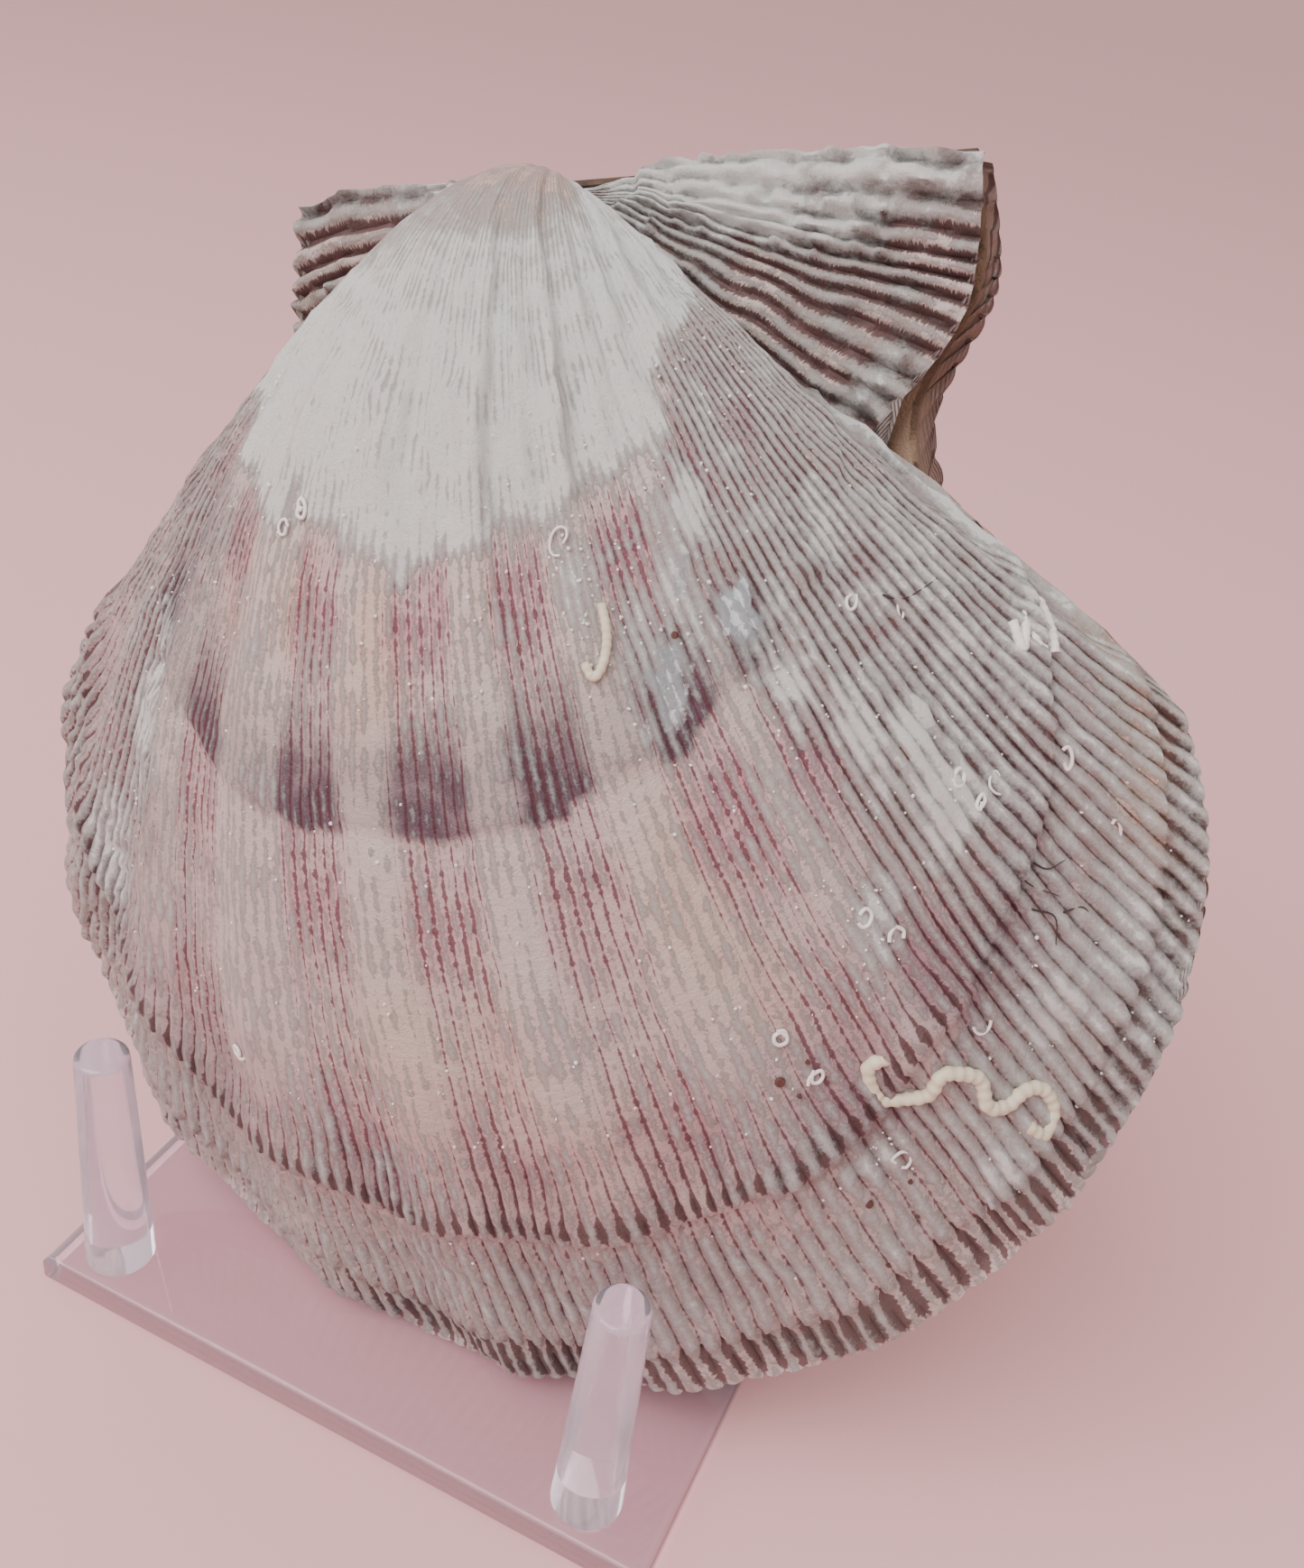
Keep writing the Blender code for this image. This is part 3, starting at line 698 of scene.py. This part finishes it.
def lay_half(name, half, marks_of):
    """Builds one half: a fine outer sheet, a coarse lining and the margin that joins them."""
    points, normals = half.surface()
    relief, marks = marks_of(half, points)
    relief[:, 0] = relief[:, -1] = 0
    outer = points + normals * relief[..., None]
    outer[..., 2] = np.maximum(outer[..., 2], 0)
    rows, columns = outer.shape[:2]
    outer[0] = outer[0].mean(axis=0)

    across = np.unique(np.append(np.arange(0, columns, LINING_COLUMNS), columns - 1))
    down = np.unique(np.append(np.arange(0, rows, LINING_ROWS), rows - 1))
    inner = points[np.ix_(down, across)] - normals[np.ix_(down, across)] * WALL * np.minimum(
        1, half.size[down] / WALL_GROWN_AT)[:, None, None]
    inner[..., 2] = np.maximum(inner[..., 2], 0)
    for end in (0, -1):
        inner[:, end, 0] = points[down, end, 0]
        inner[:, end, 1] = HINGE_V
    inner[:, 0, 2] = inner[:, -1, 2] = 0
    step = margin_inward(half)[across] * MARGIN_LAND
    inner[-1] = points[-1, across]
    inner[-1, :, :2] += step
    inner[-1, :, 2] -= half.ear[across]
    inner[0] = inner[0].mean(axis=0)

    outer_sheet = grid_on(shell_to_part(*np.moveaxis(outer, -1, 0), half.side), name)
    inner_sheet = grid_on(shell_to_part(*np.moveaxis(inner, -1, 0), half.side), name + "_lining")
    store_marks(outer_sheet.data, marks, half)
    bm = bmesh.new()
    bm.from_mesh(outer_sheet.data)
    outer_count = len(bm.verts)
    bm.from_mesh(inner_sheet.data)
    bm.verts.ensure_lookup_table()
    for face in bm.faces:
        face.smooth = True
        face.material_index = int(face.verts[0].index >= outer_count)
    grid = [bm.verts[i] for i in range(len(bm.verts))]

    def at(row, column, lining):
        width = len(across) if lining else columns
        return grid[(outer_count if lining else 0) + row * width + column]

    for lined in (0, -1):
        first = [at(r, (columns - 1) * (lined == -1), False) for r in range(rows)]
        second = [at(r, (len(across) - 1) * (lined == -1), True) for r in range(len(down))]
        zip_edges(bm, first, second)
    zip_edges(bm, [at(rows - 1, c, False) for c in range(columns)],
              [at(len(down) - 1, c, True) for c in range(len(across))])
    bmesh.ops.remove_doubles(bm, verts=bm.verts, dist=2e-6)
    bmesh.ops.dissolve_degenerate(bm, edges=bm.edges, dist=1e-7)
    bmesh.ops.recalc_face_normals(bm, faces=bm.faces)
    bm.to_mesh(outer_sheet.data)
    bm.free()
    bpy.data.objects.remove(inner_sheet, do_unlink=True)
    select_only(outer_sheet)
    bpy.ops.object.shade_smooth_by_angle(angle=radians(60))
    return outer_sheet


def store_marks(mesh, marks, half):
    """Keeps the growth size, the riblets and the colour marks on the mesh for its material."""
    layers = dict(marks)
    layers["growth"] = np.repeat(half.size[:, None], len(half.angle), axis=1)
    for name, values in layers.items():
        layer = mesh.attributes.new(name, "FLOAT", "POINT")
        layer.data.foreach_set("value", np.clip(values, 0, 1e4).astype(np.float32).ravel())


def feed(tree, node, inputs):
    """Gives each input of a node its value, or links it to the socket that feeds it."""
    for key, value in inputs.items():
        if isinstance(value, bpy.types.NodeSocket):
            tree.links.new(value, node.inputs[key])
        else:
            node.inputs[key].default_value = value


def add(tree, kind, inputs=None, output=0, **settings):
    """Adds a node with its settings and inputs, and gives the output that is used. Mix has
    its numbers at inputs 2 and 3, its colours at 6 and 7, and the mixed colour at output 2."""
    node = tree.nodes.new("ShaderNode" + kind)
    for name, value in settings.items():
        setattr(node, name, value)
    feed(tree, node, inputs or {})
    return node.outputs[output]


def new_material(name):
    """A material with its nodes, its shader and each point's place on the object."""
    material = bpy.data.materials.new(name)
    material.use_nodes = True
    tree = material.node_tree
    return material, tree, tree.nodes["Principled BSDF"], add(tree, "TexCoord", output="Object")


def shell_material(name, settings, body):
    """Calcite of a weathered scallop: matt, chalky, faintly glossy where it is sound."""
    material, tree, shader, place = new_material(name)
    mark = {key: add(tree, "Attribute", output="Fac", attribute_name=key) for key in (
        "growth", "riblet", "chalk", "crust", "plum", "rose", "sand", "lines", "umber")}
    rgb = {key: (*getattr(settings, key), 1.0) for key in (
        "cream", "sand", "rose", "plum", "wine", "umber", "chalk", "crust", "tan")}
    # Stains 4 mm across, powder 1.2 mm and grain 0.25 mm
    stain = add(tree, "TexNoise", {"Vector": place, "Scale": 260.0, "Detail": 3.0})
    powder = add(tree, "TexNoise", {"Vector": place, "Scale": 800.0, "Detail": 9.0, "Roughness": 0.8})
    grain = add(tree, "TexNoise", {"Vector": place, "Scale": 4000.0, "Detail": 2.0})
    # Growth wrinkles under a millimetre apart near the margin, each about a riblet wide
    down = add(tree, "Math", {0: mark["growth"], 1: 210.0}, operation="MULTIPLY")
    across = add(tree, "Math", {0: mark["riblet"], 1: 0.9}, operation="MULTIPLY")
    wrinkle_at = add(tree, "CombineXYZ", {"X": down, "Y": across})
    wrinkle = add(tree, "TexNoise", {"Vector": wrinkle_at, "Scale": 1.0, "Detail": 2.0})

    # Pigments, each cloudy in itself
    colour = rgb[body]
    cloudy = add(tree, "Math", {0: stain, 1: 1.4, 2: 0.3}, operation="MULTIPLY_ADD")
    for key in ("sand", "rose", "plum"):
        share = add(tree, "Math", {0: mark[key], 1: cloudy}, operation="MULTIPLY", use_clamp=True)
        colour = add(tree, "Mix", {0: share, 6: colour, 7: rgb[key]}, 2, data_type="RGBA")

    # Dark lines between the riblets, dotted by the wrinkles where they are wine, whole where umber
    between = add(tree, "Math", {0: mark["riblet"], 1: 0.5}, operation="PINGPONG")
    dotted = add(tree, "Math", {0: wrinkle, 1: 4.4, 2: -1.2}, operation="MULTIPLY_ADD")
    whole = add(tree, "Math", {0: mark["umber"], 1: 0.85}, operation="MULTIPLY", use_clamp=True)
    dotted = add(tree, "Mix", {0: whole, 2: dotted, 3: 1.0})
    reach = add(tree, "Math", {0: mark["lines"], 1: dotted}, operation="MULTIPLY")
    line = add(tree, "Math", {0: reach, 1: between}, operation="SUBTRACT")
    line = add(tree, "Math", {0: line, 1: 15.0}, operation="MULTIPLY", use_clamp=True)
    line = add(tree, "Math", {0: line, 1: 0.82}, operation="MULTIPLY")
    dark = add(tree, "Mix", {0: mark["umber"], 6: rgb["wine"], 7: rgb["umber"]}, 2, data_type="RGBA")
    colour = add(tree, "Mix", {0: line, 6: colour, 7: dark}, 2, data_type="RGBA")

    # Lime dust, thicker on the riblets than between them
    dust = mark["chalk"]
    for source, share in ((powder, 1.5), (stain, 0.9), (between, 0.8)):
        dust = add(tree, "Math", {0: source, 1: share, 2: dust}, operation="MULTIPLY_ADD")
    dust = add(tree, "Math", {0: dust, 1: 1.60}, operation="SUBTRACT")
    dust = add(tree, "Math", {0: dust, 1: 1.9}, operation="MULTIPLY", use_clamp=True)
    cover = add(tree, "Math", {0: dust, 1: 0.9}, operation="MULTIPLY")
    colour = add(tree, "Mix", {0: cover, 6: colour, 7: rgb["chalk"]}, 2, data_type="RGBA")

    # Bluish crust, eaten through by its own grain
    crust = add(tree, "Math", {0: powder, 1: -0.9, 2: mark["crust"]}, operation="MULTIPLY_ADD")
    crust = add(tree, "Math", {0: crust, 1: 5.0}, operation="MULTIPLY", use_clamp=True)
    colour = add(tree, "Mix", {0: crust, 6: colour, 7: rgb["crust"]}, 2, data_type="RGBA")

    rough = add(tree, "MapRange", {"Value": dust, "To Min": 0.5, "To Max": 0.9})
    height = add(tree, "Math", {0: grain, 1: 0.25}, operation="MULTIPLY")
    height = add(tree, "Math", {0: wrinkle, 1: 0.3, 2: height}, operation="MULTIPLY_ADD")
    crumbly = add(tree, "Math", {0: dust, 1: 0.9, 2: 0.3}, operation="MULTIPLY_ADD")
    height = add(tree, "Math", {0: powder, 1: crumbly, 2: height}, operation="MULTIPLY_ADD")
    bump = add(tree, "Bump", {"Height": height, "Distance": 0.6 * MM, "Strength": 1.0})
    feed(tree, shader, {"Base Color": colour, "Roughness": rough, "IOR": LIME_IOR,
                        "Specular IOR Level": 0.4, "Normal": bump})
    return material


def lining_material(settings):
    """The porcelain-smooth inner layer: mauve brown with a low gloss."""
    material, tree, shader, place = new_material("inner_lime_porcelain")
    cloud = add(tree, "TexNoise", {"Vector": place, "Scale": 120.0, "Detail": 3.0})
    dark = (*(part * 0.7 for part in settings.lining), 1.0)
    colour = add(tree, "Mix", {0: cloud, 6: dark, 7: (*settings.lining, 1.0)}, 2, data_type="RGBA")
    feed(tree, shader, {"Base Color": colour, "Roughness": 0.35, "IOR": LIME_IOR})
    return material


def mottled_material(name, pale, dark, grain, roughness=0.7, relief=0.15 * MM):
    """A dry, matt stuff in two tones, such as worm lime, horn or the painted shade of pits, with grain
    of one size.
    """
    material, tree, shader, place = new_material(name)
    cloud = add(tree, "TexNoise", {"Vector": place, "Scale": 1 / grain, "Detail": 4.0})
    colour = add(tree, "Mix", {0: cloud, 6: linear(dark), 7: linear(pale)}, 2, data_type="RGBA")
    bump = add(tree, "Bump", {"Height": cloud, "Distance": relief})
    feed(tree, shader, {"Base Color": colour, "Roughness": roughness, "Normal": bump})
    return material


class SCALLOP_OT_halves(bpy.types.Operator):
    """Builds the two halves of the shell with their ribs, ears and growth marks"""

    bl_idname = "scallop.halves"
    bl_label = "Shell halves"

    def execute(self, context):
        settings = context.scene.scallop_shell
        lining = lining_material(settings)
        for name, outline, side, marks_of, body in (
            ("scallop_right_half", RIGHT_FRONT_EAR, 1, right_half_marks, "cream"),
            ("scallop_left_half", LEFT_FRONT_EAR, -1, left_half_marks, "tan"),
        ):
            half = Half(settings, outline, side, COLUMNS_PER_RIBLET, settings.rows)
            piece = lay_half(name, half, marks_of)
            piece.data.materials.clear()
            piece.data.materials.append(shell_material(f"weathered_calcite_{body}", settings, body))
            piece.data.materials.append(lining)
            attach(piece, "root")
            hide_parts("right_valve" if side > 0 else "left_valve")
        return {"FINISHED"}


class SCALLOP_OT_hinge_band(bpy.types.Operator):
    """Builds the dark horny band along the hinge line"""

    bl_idname = "scallop.hinge_band"
    bl_label = "Hinge band"

    def execute(self, context):
        low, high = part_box("hinge_ligament")
        deselect_all()
        bpy.ops.mesh.primitive_cube_add(size=1)
        band = new_shape("hinge_band")
        length = (BAND_SPAN[1] - BAND_SPAN[0]) * MM
        turn = Matrix((HINGE_WAY, MARGIN_WAY, FRONT_WAY)).transposed().to_4x4()
        sizes = Matrix.Diagonal((length, BAND_HEIGHT * 0.8 * MM, BAND_HALF_WIDTH * 1.1 * MM, 1))
        band.matrix_world = Matrix.Translation((low + high) / 2) @ turn @ sizes
        bpy.ops.object.transform_apply(location=True, rotation=True, scale=True)
        bpy.ops.object.mode_set(mode="EDIT")
        bpy.ops.mesh.select_all(action="SELECT")
        bpy.ops.mesh.subdivide(number_cuts=3)
        bpy.ops.mesh.bevel(offset=0.06 * MM, segments=1, affect="EDGES")
        bpy.ops.mesh.normals_make_consistent(inside=False)
        bpy.ops.object.mode_set(mode="OBJECT")
        bpy.ops.object.shade_smooth_by_angle(angle=radians(40))
        # Horny ligament that has dried out: dark brown, half matt, finely cracked
        band.data.materials.append(mottled_material(
            "dried_ligament_horn", "#5C3F2A", "#2A1A12", MM / 0.7, roughness=0.6, relief=0.2 * MM))
        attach(band, "root")
        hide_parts("hinge_ligament")
        return {"FINISHED"}


def on_right_half(settings, size, angle):
    """The point of the right half's smooth surface at a growth size and angle, and the way out."""
    def at(some_size, some_angle):
        some_angle = np.array(some_angle)
        rib = 2 * some_angle - drifted(some_size, some_angle)
        lift = settings.main_rib_height / MM * rib_wave(rib)
        return Vector(shell_to_part(*grown(some_size, *disc_point(some_angle), lift), 1))

    middle = at(size, angle)
    across = at(size, angle + 0.4) - at(size, angle - 0.4)
    out = across.cross(at(size + 0.004, angle) - at(size - 0.004, angle))
    out.normalize()
    if out.dot(FRONT_WAY) < 0:
        out = -out
    return middle, out


def tube_along(settings, name, route, radius, rise, steps=12, rings=0.0, ring_pitch=1.0, taper=0.0):
    """A tube along a route on the right half, swollen into rings as its maker built it."""
    spots, share = along_curve(route, steps * len(route))
    centres = []
    for size, angle in spots:
        spot, out = on_right_half(settings, float(size), float(angle))
        centres.append(spot + out * (settings.riblet_height * 0.8 * size + rise))
    curve = bpy.data.curves.new(name, "CURVE")
    curve.dimensions = "3D"
    curve.bevel_depth = radius
    curve.bevel_resolution = 4
    curve.use_fill_caps = True
    spline = curve.splines.new("POLY")
    spline.points.add(len(centres) - 1)
    travelled = arc_lengths(np.array(centres))
    for point, centre, run, part in zip(spline.points, centres, travelled, share):
        point.co = (*centre, 1)
        point.radius = (1 + rings * sin(2 * pi * run / ring_pitch)) * (1 - taper * part)
    item = bpy.data.objects.new(name, curve)
    bpy.context.scene.collection.objects.link(item)
    select_only(item)
    bpy.ops.object.convert(target="MESH")
    bpy.ops.object.shade_smooth_by_angle(angle=radians(50))
    return bpy.context.object


class SCALLOP_OT_worm_tubes(bpy.types.Operator):
    """Lays the lime tubes of worms on the right half"""

    bl_idname = "scallop.worm_tubes"
    bl_label = "Worm tubes"

    def execute(self, context):
        settings = context.scene.scallop_shell
        # Lime that a worm lays down ring by ring: matt, cream, or bleached white
        cream = mottled_material("worm_tube_lime_cream", "#E4DCC8", "#BFB18F", 1.2 * MM)
        white = mottled_material("worm_tube_lime_white", "#F1EEE8", "#D9D0C4", 0.8 * MM)
        tube = tube_along(settings, "worm_tube_ringed", LARGE_TUBE, LARGE_TUBE_RADIUS * MM, 0.2 * MM,
                          rings=0.09, ring_pitch=1.1 * MM)
        tube.data.materials.append(cream)
        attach(tube, "root")
        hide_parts("worm_tube")
        for name, (radius, route) in SMALL_TUBES.items():
            piece = tube_along(settings, name, route, radius * MM, 0.2 * MM,
                               rings=0.08, ring_pitch=0.7 * MM)
            piece.data.materials.append(cream if "hooked" in name else white)
            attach(piece, "root")
        return {"FINISHED"}


def join_all(pieces, name):
    deselect_all()
    for piece in pieces:
        piece.select_set(True)
    bpy.context.view_layer.objects.active = pieces[0]
    bpy.ops.object.join()
    pieces[0].name = pieces[0].data.name = name
    return pieces[0]


class SCALLOP_OT_growths(bpy.types.Operator):
    """Lays thin lime squiggles and scatters crumbs of lime on the right half"""

    bl_idname = "scallop.growths"
    bl_label = "Lime growths"

    def execute(self, context):
        settings = context.scene.scallop_shell
        random = np.random.default_rng(GROWTHS_SEED)
        # Thin lime that crumbles: matt and nearly white
        white = mottled_material("crumbled_lime", "#F2F0EC", "#DAD3CC", 0.6 * MM)
        squiggles = []
        for size, angle in SQUIGGLES:
            heading = random.uniform(0, 2 * pi)
            bend = random.choice((-1, 1)) * random.uniform(0.5, 1.1)
            route = [(size, angle)]
            for _ in range(random.integers(5, 10)):
                heading += bend + random.normal(0, 0.35)
                size += SQUIGGLE_STEP[0] * cos(heading)
                angle += SQUIGGLE_STEP[1] * sin(heading) / max(size, 0.4)
                route.append((size, angle))
            squiggles.append(tube_along(
                settings, "squiggle", route, random.uniform(0.12, 0.22) * MM, 0.05 * MM, steps=4))
        piece = join_all(squiggles, "worm_tubes_thin")
        piece.data.materials.append(white)
        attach(piece, "root")

        bm = bmesh.new()
        for _ in range(CRUMBS):
            if random.random() < CRUMBS_ON_CHALK:
                patch = CHALK_PATCHES[random.integers(len(CHALK_PATCHES))]
                size, angle, half_size, half_angle, _ = patch
                size = size + random.normal(0, half_size * 0.7)
                angle = angle + random.normal(0, half_angle * 0.8)
            else:
                size, angle = random.uniform(0.25, 0.97), random.uniform(38, 130)
            spot, out = on_right_half(settings, min(max(size, 0.2), 0.985), min(max(angle, 38), 139))
            radius = random.uniform(0.07, 0.22) * MM
            stretch = Matrix.Diagonal((*(radius * random.uniform(0.6, 1.3, 3)), 1))
            middle = spot + out * (settings.riblet_height * 0.4 * size + radius * 0.3)
            bmesh.ops.create_icosphere(
                bm, subdivisions=1, radius=1, matrix=Matrix.Translation(middle) @ stretch)
        crumbs = from_bmesh(bm, "lime_crumbs")
        crumbs.data.shade_smooth()
        crumbs.data.materials.append(white)
        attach(crumbs, "root")
        return {"FINISHED"}


class SCALLOP_OT_hairs(bpy.types.Operator):
    """Lays the dark hairs on the right half, and dark plugs where its small pits are, painted shade in
    place of holes
    """

    bl_idname = "scallop.hairs"
    bl_label = "Hairs and pits"

    def execute(self, context):
        settings = context.scene.scallop_shell
        hairs = [tube_along(settings, "hair", route, 0.11 * MM, 0.12 * MM, steps=6, taper=0.6)
                 for route in HAIRS]
        piece = join_all(hairs, "dry_hairs")
        # Dry plant fibre: dull and nearly black
        piece.data.materials.append(mottled_material("dry_fibre", "#4A3A38", "#1E1514", 0.5 * MM))
        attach(piece, "root")
        bm = bmesh.new()
        # Each pit is a dark plug on the surface, not a hole; its colour is painted shade
        for size, angle, radius in PITS:
            spot, out = on_right_half(settings, size, angle)
            middle = spot + out * settings.riblet_height * size
            place = Matrix.Translation(middle) @ out.to_track_quat("Z", "Y").to_matrix().to_4x4()
            bmesh.ops.create_cone(bm, cap_ends=True, segments=14, radius1=radius * MM,
                                  radius2=radius * 0.8 * MM, depth=0.3 * MM, matrix=place)
        pits = from_bmesh(bm, "pit_shade_plugs")
        # Painted shade of the pits' hollows, on plugs in place of holes: matt and brown
        pits.data.materials.append(mottled_material("painted_pit_shade", "#6B4138", "#3A2320", 0.4 * MM))
        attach(pits, "root")
        return {"FINISHED"}


def acrylic_material(settings):
    """Cast clear acrylic, flame polished: clear, slightly milky with handling, bright edges."""
    material, tree, shader, place = new_material("cast_clear_acrylic")
    scuff = add(tree, "TexNoise", {"Vector": place, "Scale": 500.0, "Detail": 3.0})
    bump = add(tree, "Bump", {"Height": scuff, "Distance": 0.01 * MM, "Strength": 0.3})
    feed(tree, shader, {"Base Color": (*settings.tint, 1.0), "Roughness": settings.roughness,
                        "Transmission Weight": 0.87, "IOR": ACRYLIC_IOR, "Normal": bump})
    # Light from the lamps goes straight through, as acrylic hardly shades what is behind it
    passing = add(tree, "BsdfTransparent", {"Color": (*settings.shade, 1.0)})
    lamps = add(tree, "LightPath", output="Is Shadow Ray")
    both = add(tree, "MixShader", {0: lamps, 1: shader.outputs[0], 2: passing})
    feed(tree, tree.nodes["Material Output"], {"Surface": both})
    return material


class SCALLOP_OT_stand(bpy.types.Operator):
    """Builds the clear plate and its four pegs"""

    bl_idname = "scallop.stand"
    bl_label = "Clear stand"

    @staticmethod
    def is_corner(edge):
        return abs(edge.verts[0].co.z - edge.verts[1].co.z) > MM

    @staticmethod
    def is_rim(edge):
        level = abs(edge.verts[0].co.z - edge.verts[1].co.z) < 1e-6
        return level and any(abs(face.normal.z) > 0.9 for face in edge.link_faces)

    def execute(self, context):
        acrylic = acrylic_material(context.scene.scallop_stand)
        for name in ("front_peg_left", "front_peg_right", "back_peg_left", "back_peg_right"):
            low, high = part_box(name)
            deselect_all()
            bpy.ops.mesh.primitive_cone_add(
                vertices=96, radius1=PEG_FOOT_RADIUS, radius2=PEG_TOP_RADIUS, depth=high.z - low.z,
                location=(low + high) / 2)
            peg = new_shape("clear_" + name)
            bpy.ops.object.transform_apply(location=True, rotation=True, scale=True)
            bevel_where(peg, lambda edge: min(v.co.z for v in edge.verts) > high.z - 1e-6, PEG_EDGE, 6)
            bpy.ops.object.shade_smooth_by_angle(angle=radians(40))
            peg.data.materials.append(acrylic)
            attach(peg, "root")
            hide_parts(name)
        low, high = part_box("base_plate")
        deselect_all()
        bpy.ops.mesh.primitive_cube_add(size=1, location=(low + high) / 2, scale=high - low)
        plate = new_shape("clear_base_plate")
        bpy.ops.object.transform_apply(location=True, rotation=True, scale=True)
        bevel_where(plate, self.is_corner, PLATE_CORNER, 12)
        bevel_where(plate, self.is_rim, PLATE_EDGE, 5)
        bpy.ops.object.shade_smooth_by_angle(angle=radians(35))
        plate.data.materials.append(acrylic)
        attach(plate, "root")
        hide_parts("base_plate")
        return {"FINISHED"}


class SCALLOP_OT_stage(bpy.types.Operator):
    """Adds the pale floor, the soft light and the camera"""

    bl_idname = "scallop.stage"
    bl_label = "Stage"

    def execute(self, context):
        settings = context.scene.scallop_stage
        deselect_all()
        bpy.ops.mesh.primitive_plane_add(size=12)
        floor = new_shape("pale_floor")
        # Matt paint on board: even, with a fine tooth
        material, tree, shader, place = new_material("matt_paint")
        cloud = add(tree, "TexNoise", {"Vector": place, "Scale": 900.0, "Detail": 2.0})
        bump = add(tree, "Bump", {"Height": cloud, "Distance": 0.02 * MM, "Strength": 0.3})
        feed(tree, shader, {
            "Base Color": (*settings.floor, 1.0), "Roughness": 0.6, "Normal": bump})
        floor.data.materials.append(material)

        world = bpy.data.worlds.new("soft_room")
        world.use_nodes = True
        feed(world.node_tree, world.node_tree.nodes["Background"], {
            "Color": linear("#F3E6E6"), "Strength": 1.0})
        context.scene.world = world
        bpy.ops.object.light_add(type="AREA", location=LIGHT_PLACE)
        light = bpy.context.object
        light.name = "window_light"
        light.data.size = LIGHT_SIZE
        light.data.energy = settings.light
        light.rotation_euler = LIGHT_WAY.to_track_quat("-Z", "Y").to_euler()

        bpy.ops.object.camera_add(location=CAMERA_PLACE)
        camera = bpy.context.object
        forward = CAMERA_FORWARD.normalized()
        right = forward.cross(CAMERA_UP).normalized()
        up = right.cross(forward)
        camera.matrix_world = Matrix.Translation(CAMERA_PLACE) @ Matrix(
            (right, up, -forward)).transposed().to_4x4()
        camera.data.lens = CAMERA_LENS
        camera.data.sensor_width = SENSOR_WIDTH
        camera.data.clip_start = 0.01
        context.scene.camera = camera
        return {"FINISHED"}


OPERATORS = (
    SCALLOP_OT_halves, SCALLOP_OT_hinge_band, SCALLOP_OT_worm_tubes, SCALLOP_OT_growths,
    SCALLOP_OT_hairs, SCALLOP_OT_stand, SCALLOP_OT_stage,
)


class SCALLOP_PT_panel(bpy.types.Panel):
    """Lists the pieces of the scallop and its stage"""

    bl_idname = "SCALLOP_PT_panel"
    bl_label = "Scallop shell"
    bl_space_type = "VIEW_3D"
    bl_region_type = "UI"
    bl_category = "Scallop"

    def draw(self, context):
        for group in GROUPS:
            settings = getattr(context.scene, group)
            box = self.layout.box()
            for name in settings.__annotations__:
                box.prop(settings, name)
        for operator in OPERATORS:
            self.layout.operator(operator.bl_idname)


GROUPS = {
    "scallop_shell": ScallopShellSettings,
    "scallop_stand": ScallopStandSettings,
    "scallop_stage": ScallopStageSettings,
}


def register():
    for kind in (*GROUPS.values(), *OPERATORS, SCALLOP_PT_panel):
        bpy.utils.register_class(kind)
    for name, kind in GROUPS.items():
        setattr(bpy.types.Scene, name, PointerProperty(type=kind))


def unregister():
    for name in GROUPS:
        delattr(bpy.types.Scene, name)
    for kind in (SCALLOP_PT_panel, *OPERATORS, *GROUPS.values()):
        bpy.utils.unregister_class(kind)


def main():
    register()
    for operator in OPERATORS:
        family, name = operator.bl_idname.split(".")
        getattr(getattr(bpy.ops, family), name)()


if __name__ == "__main__":
    main()
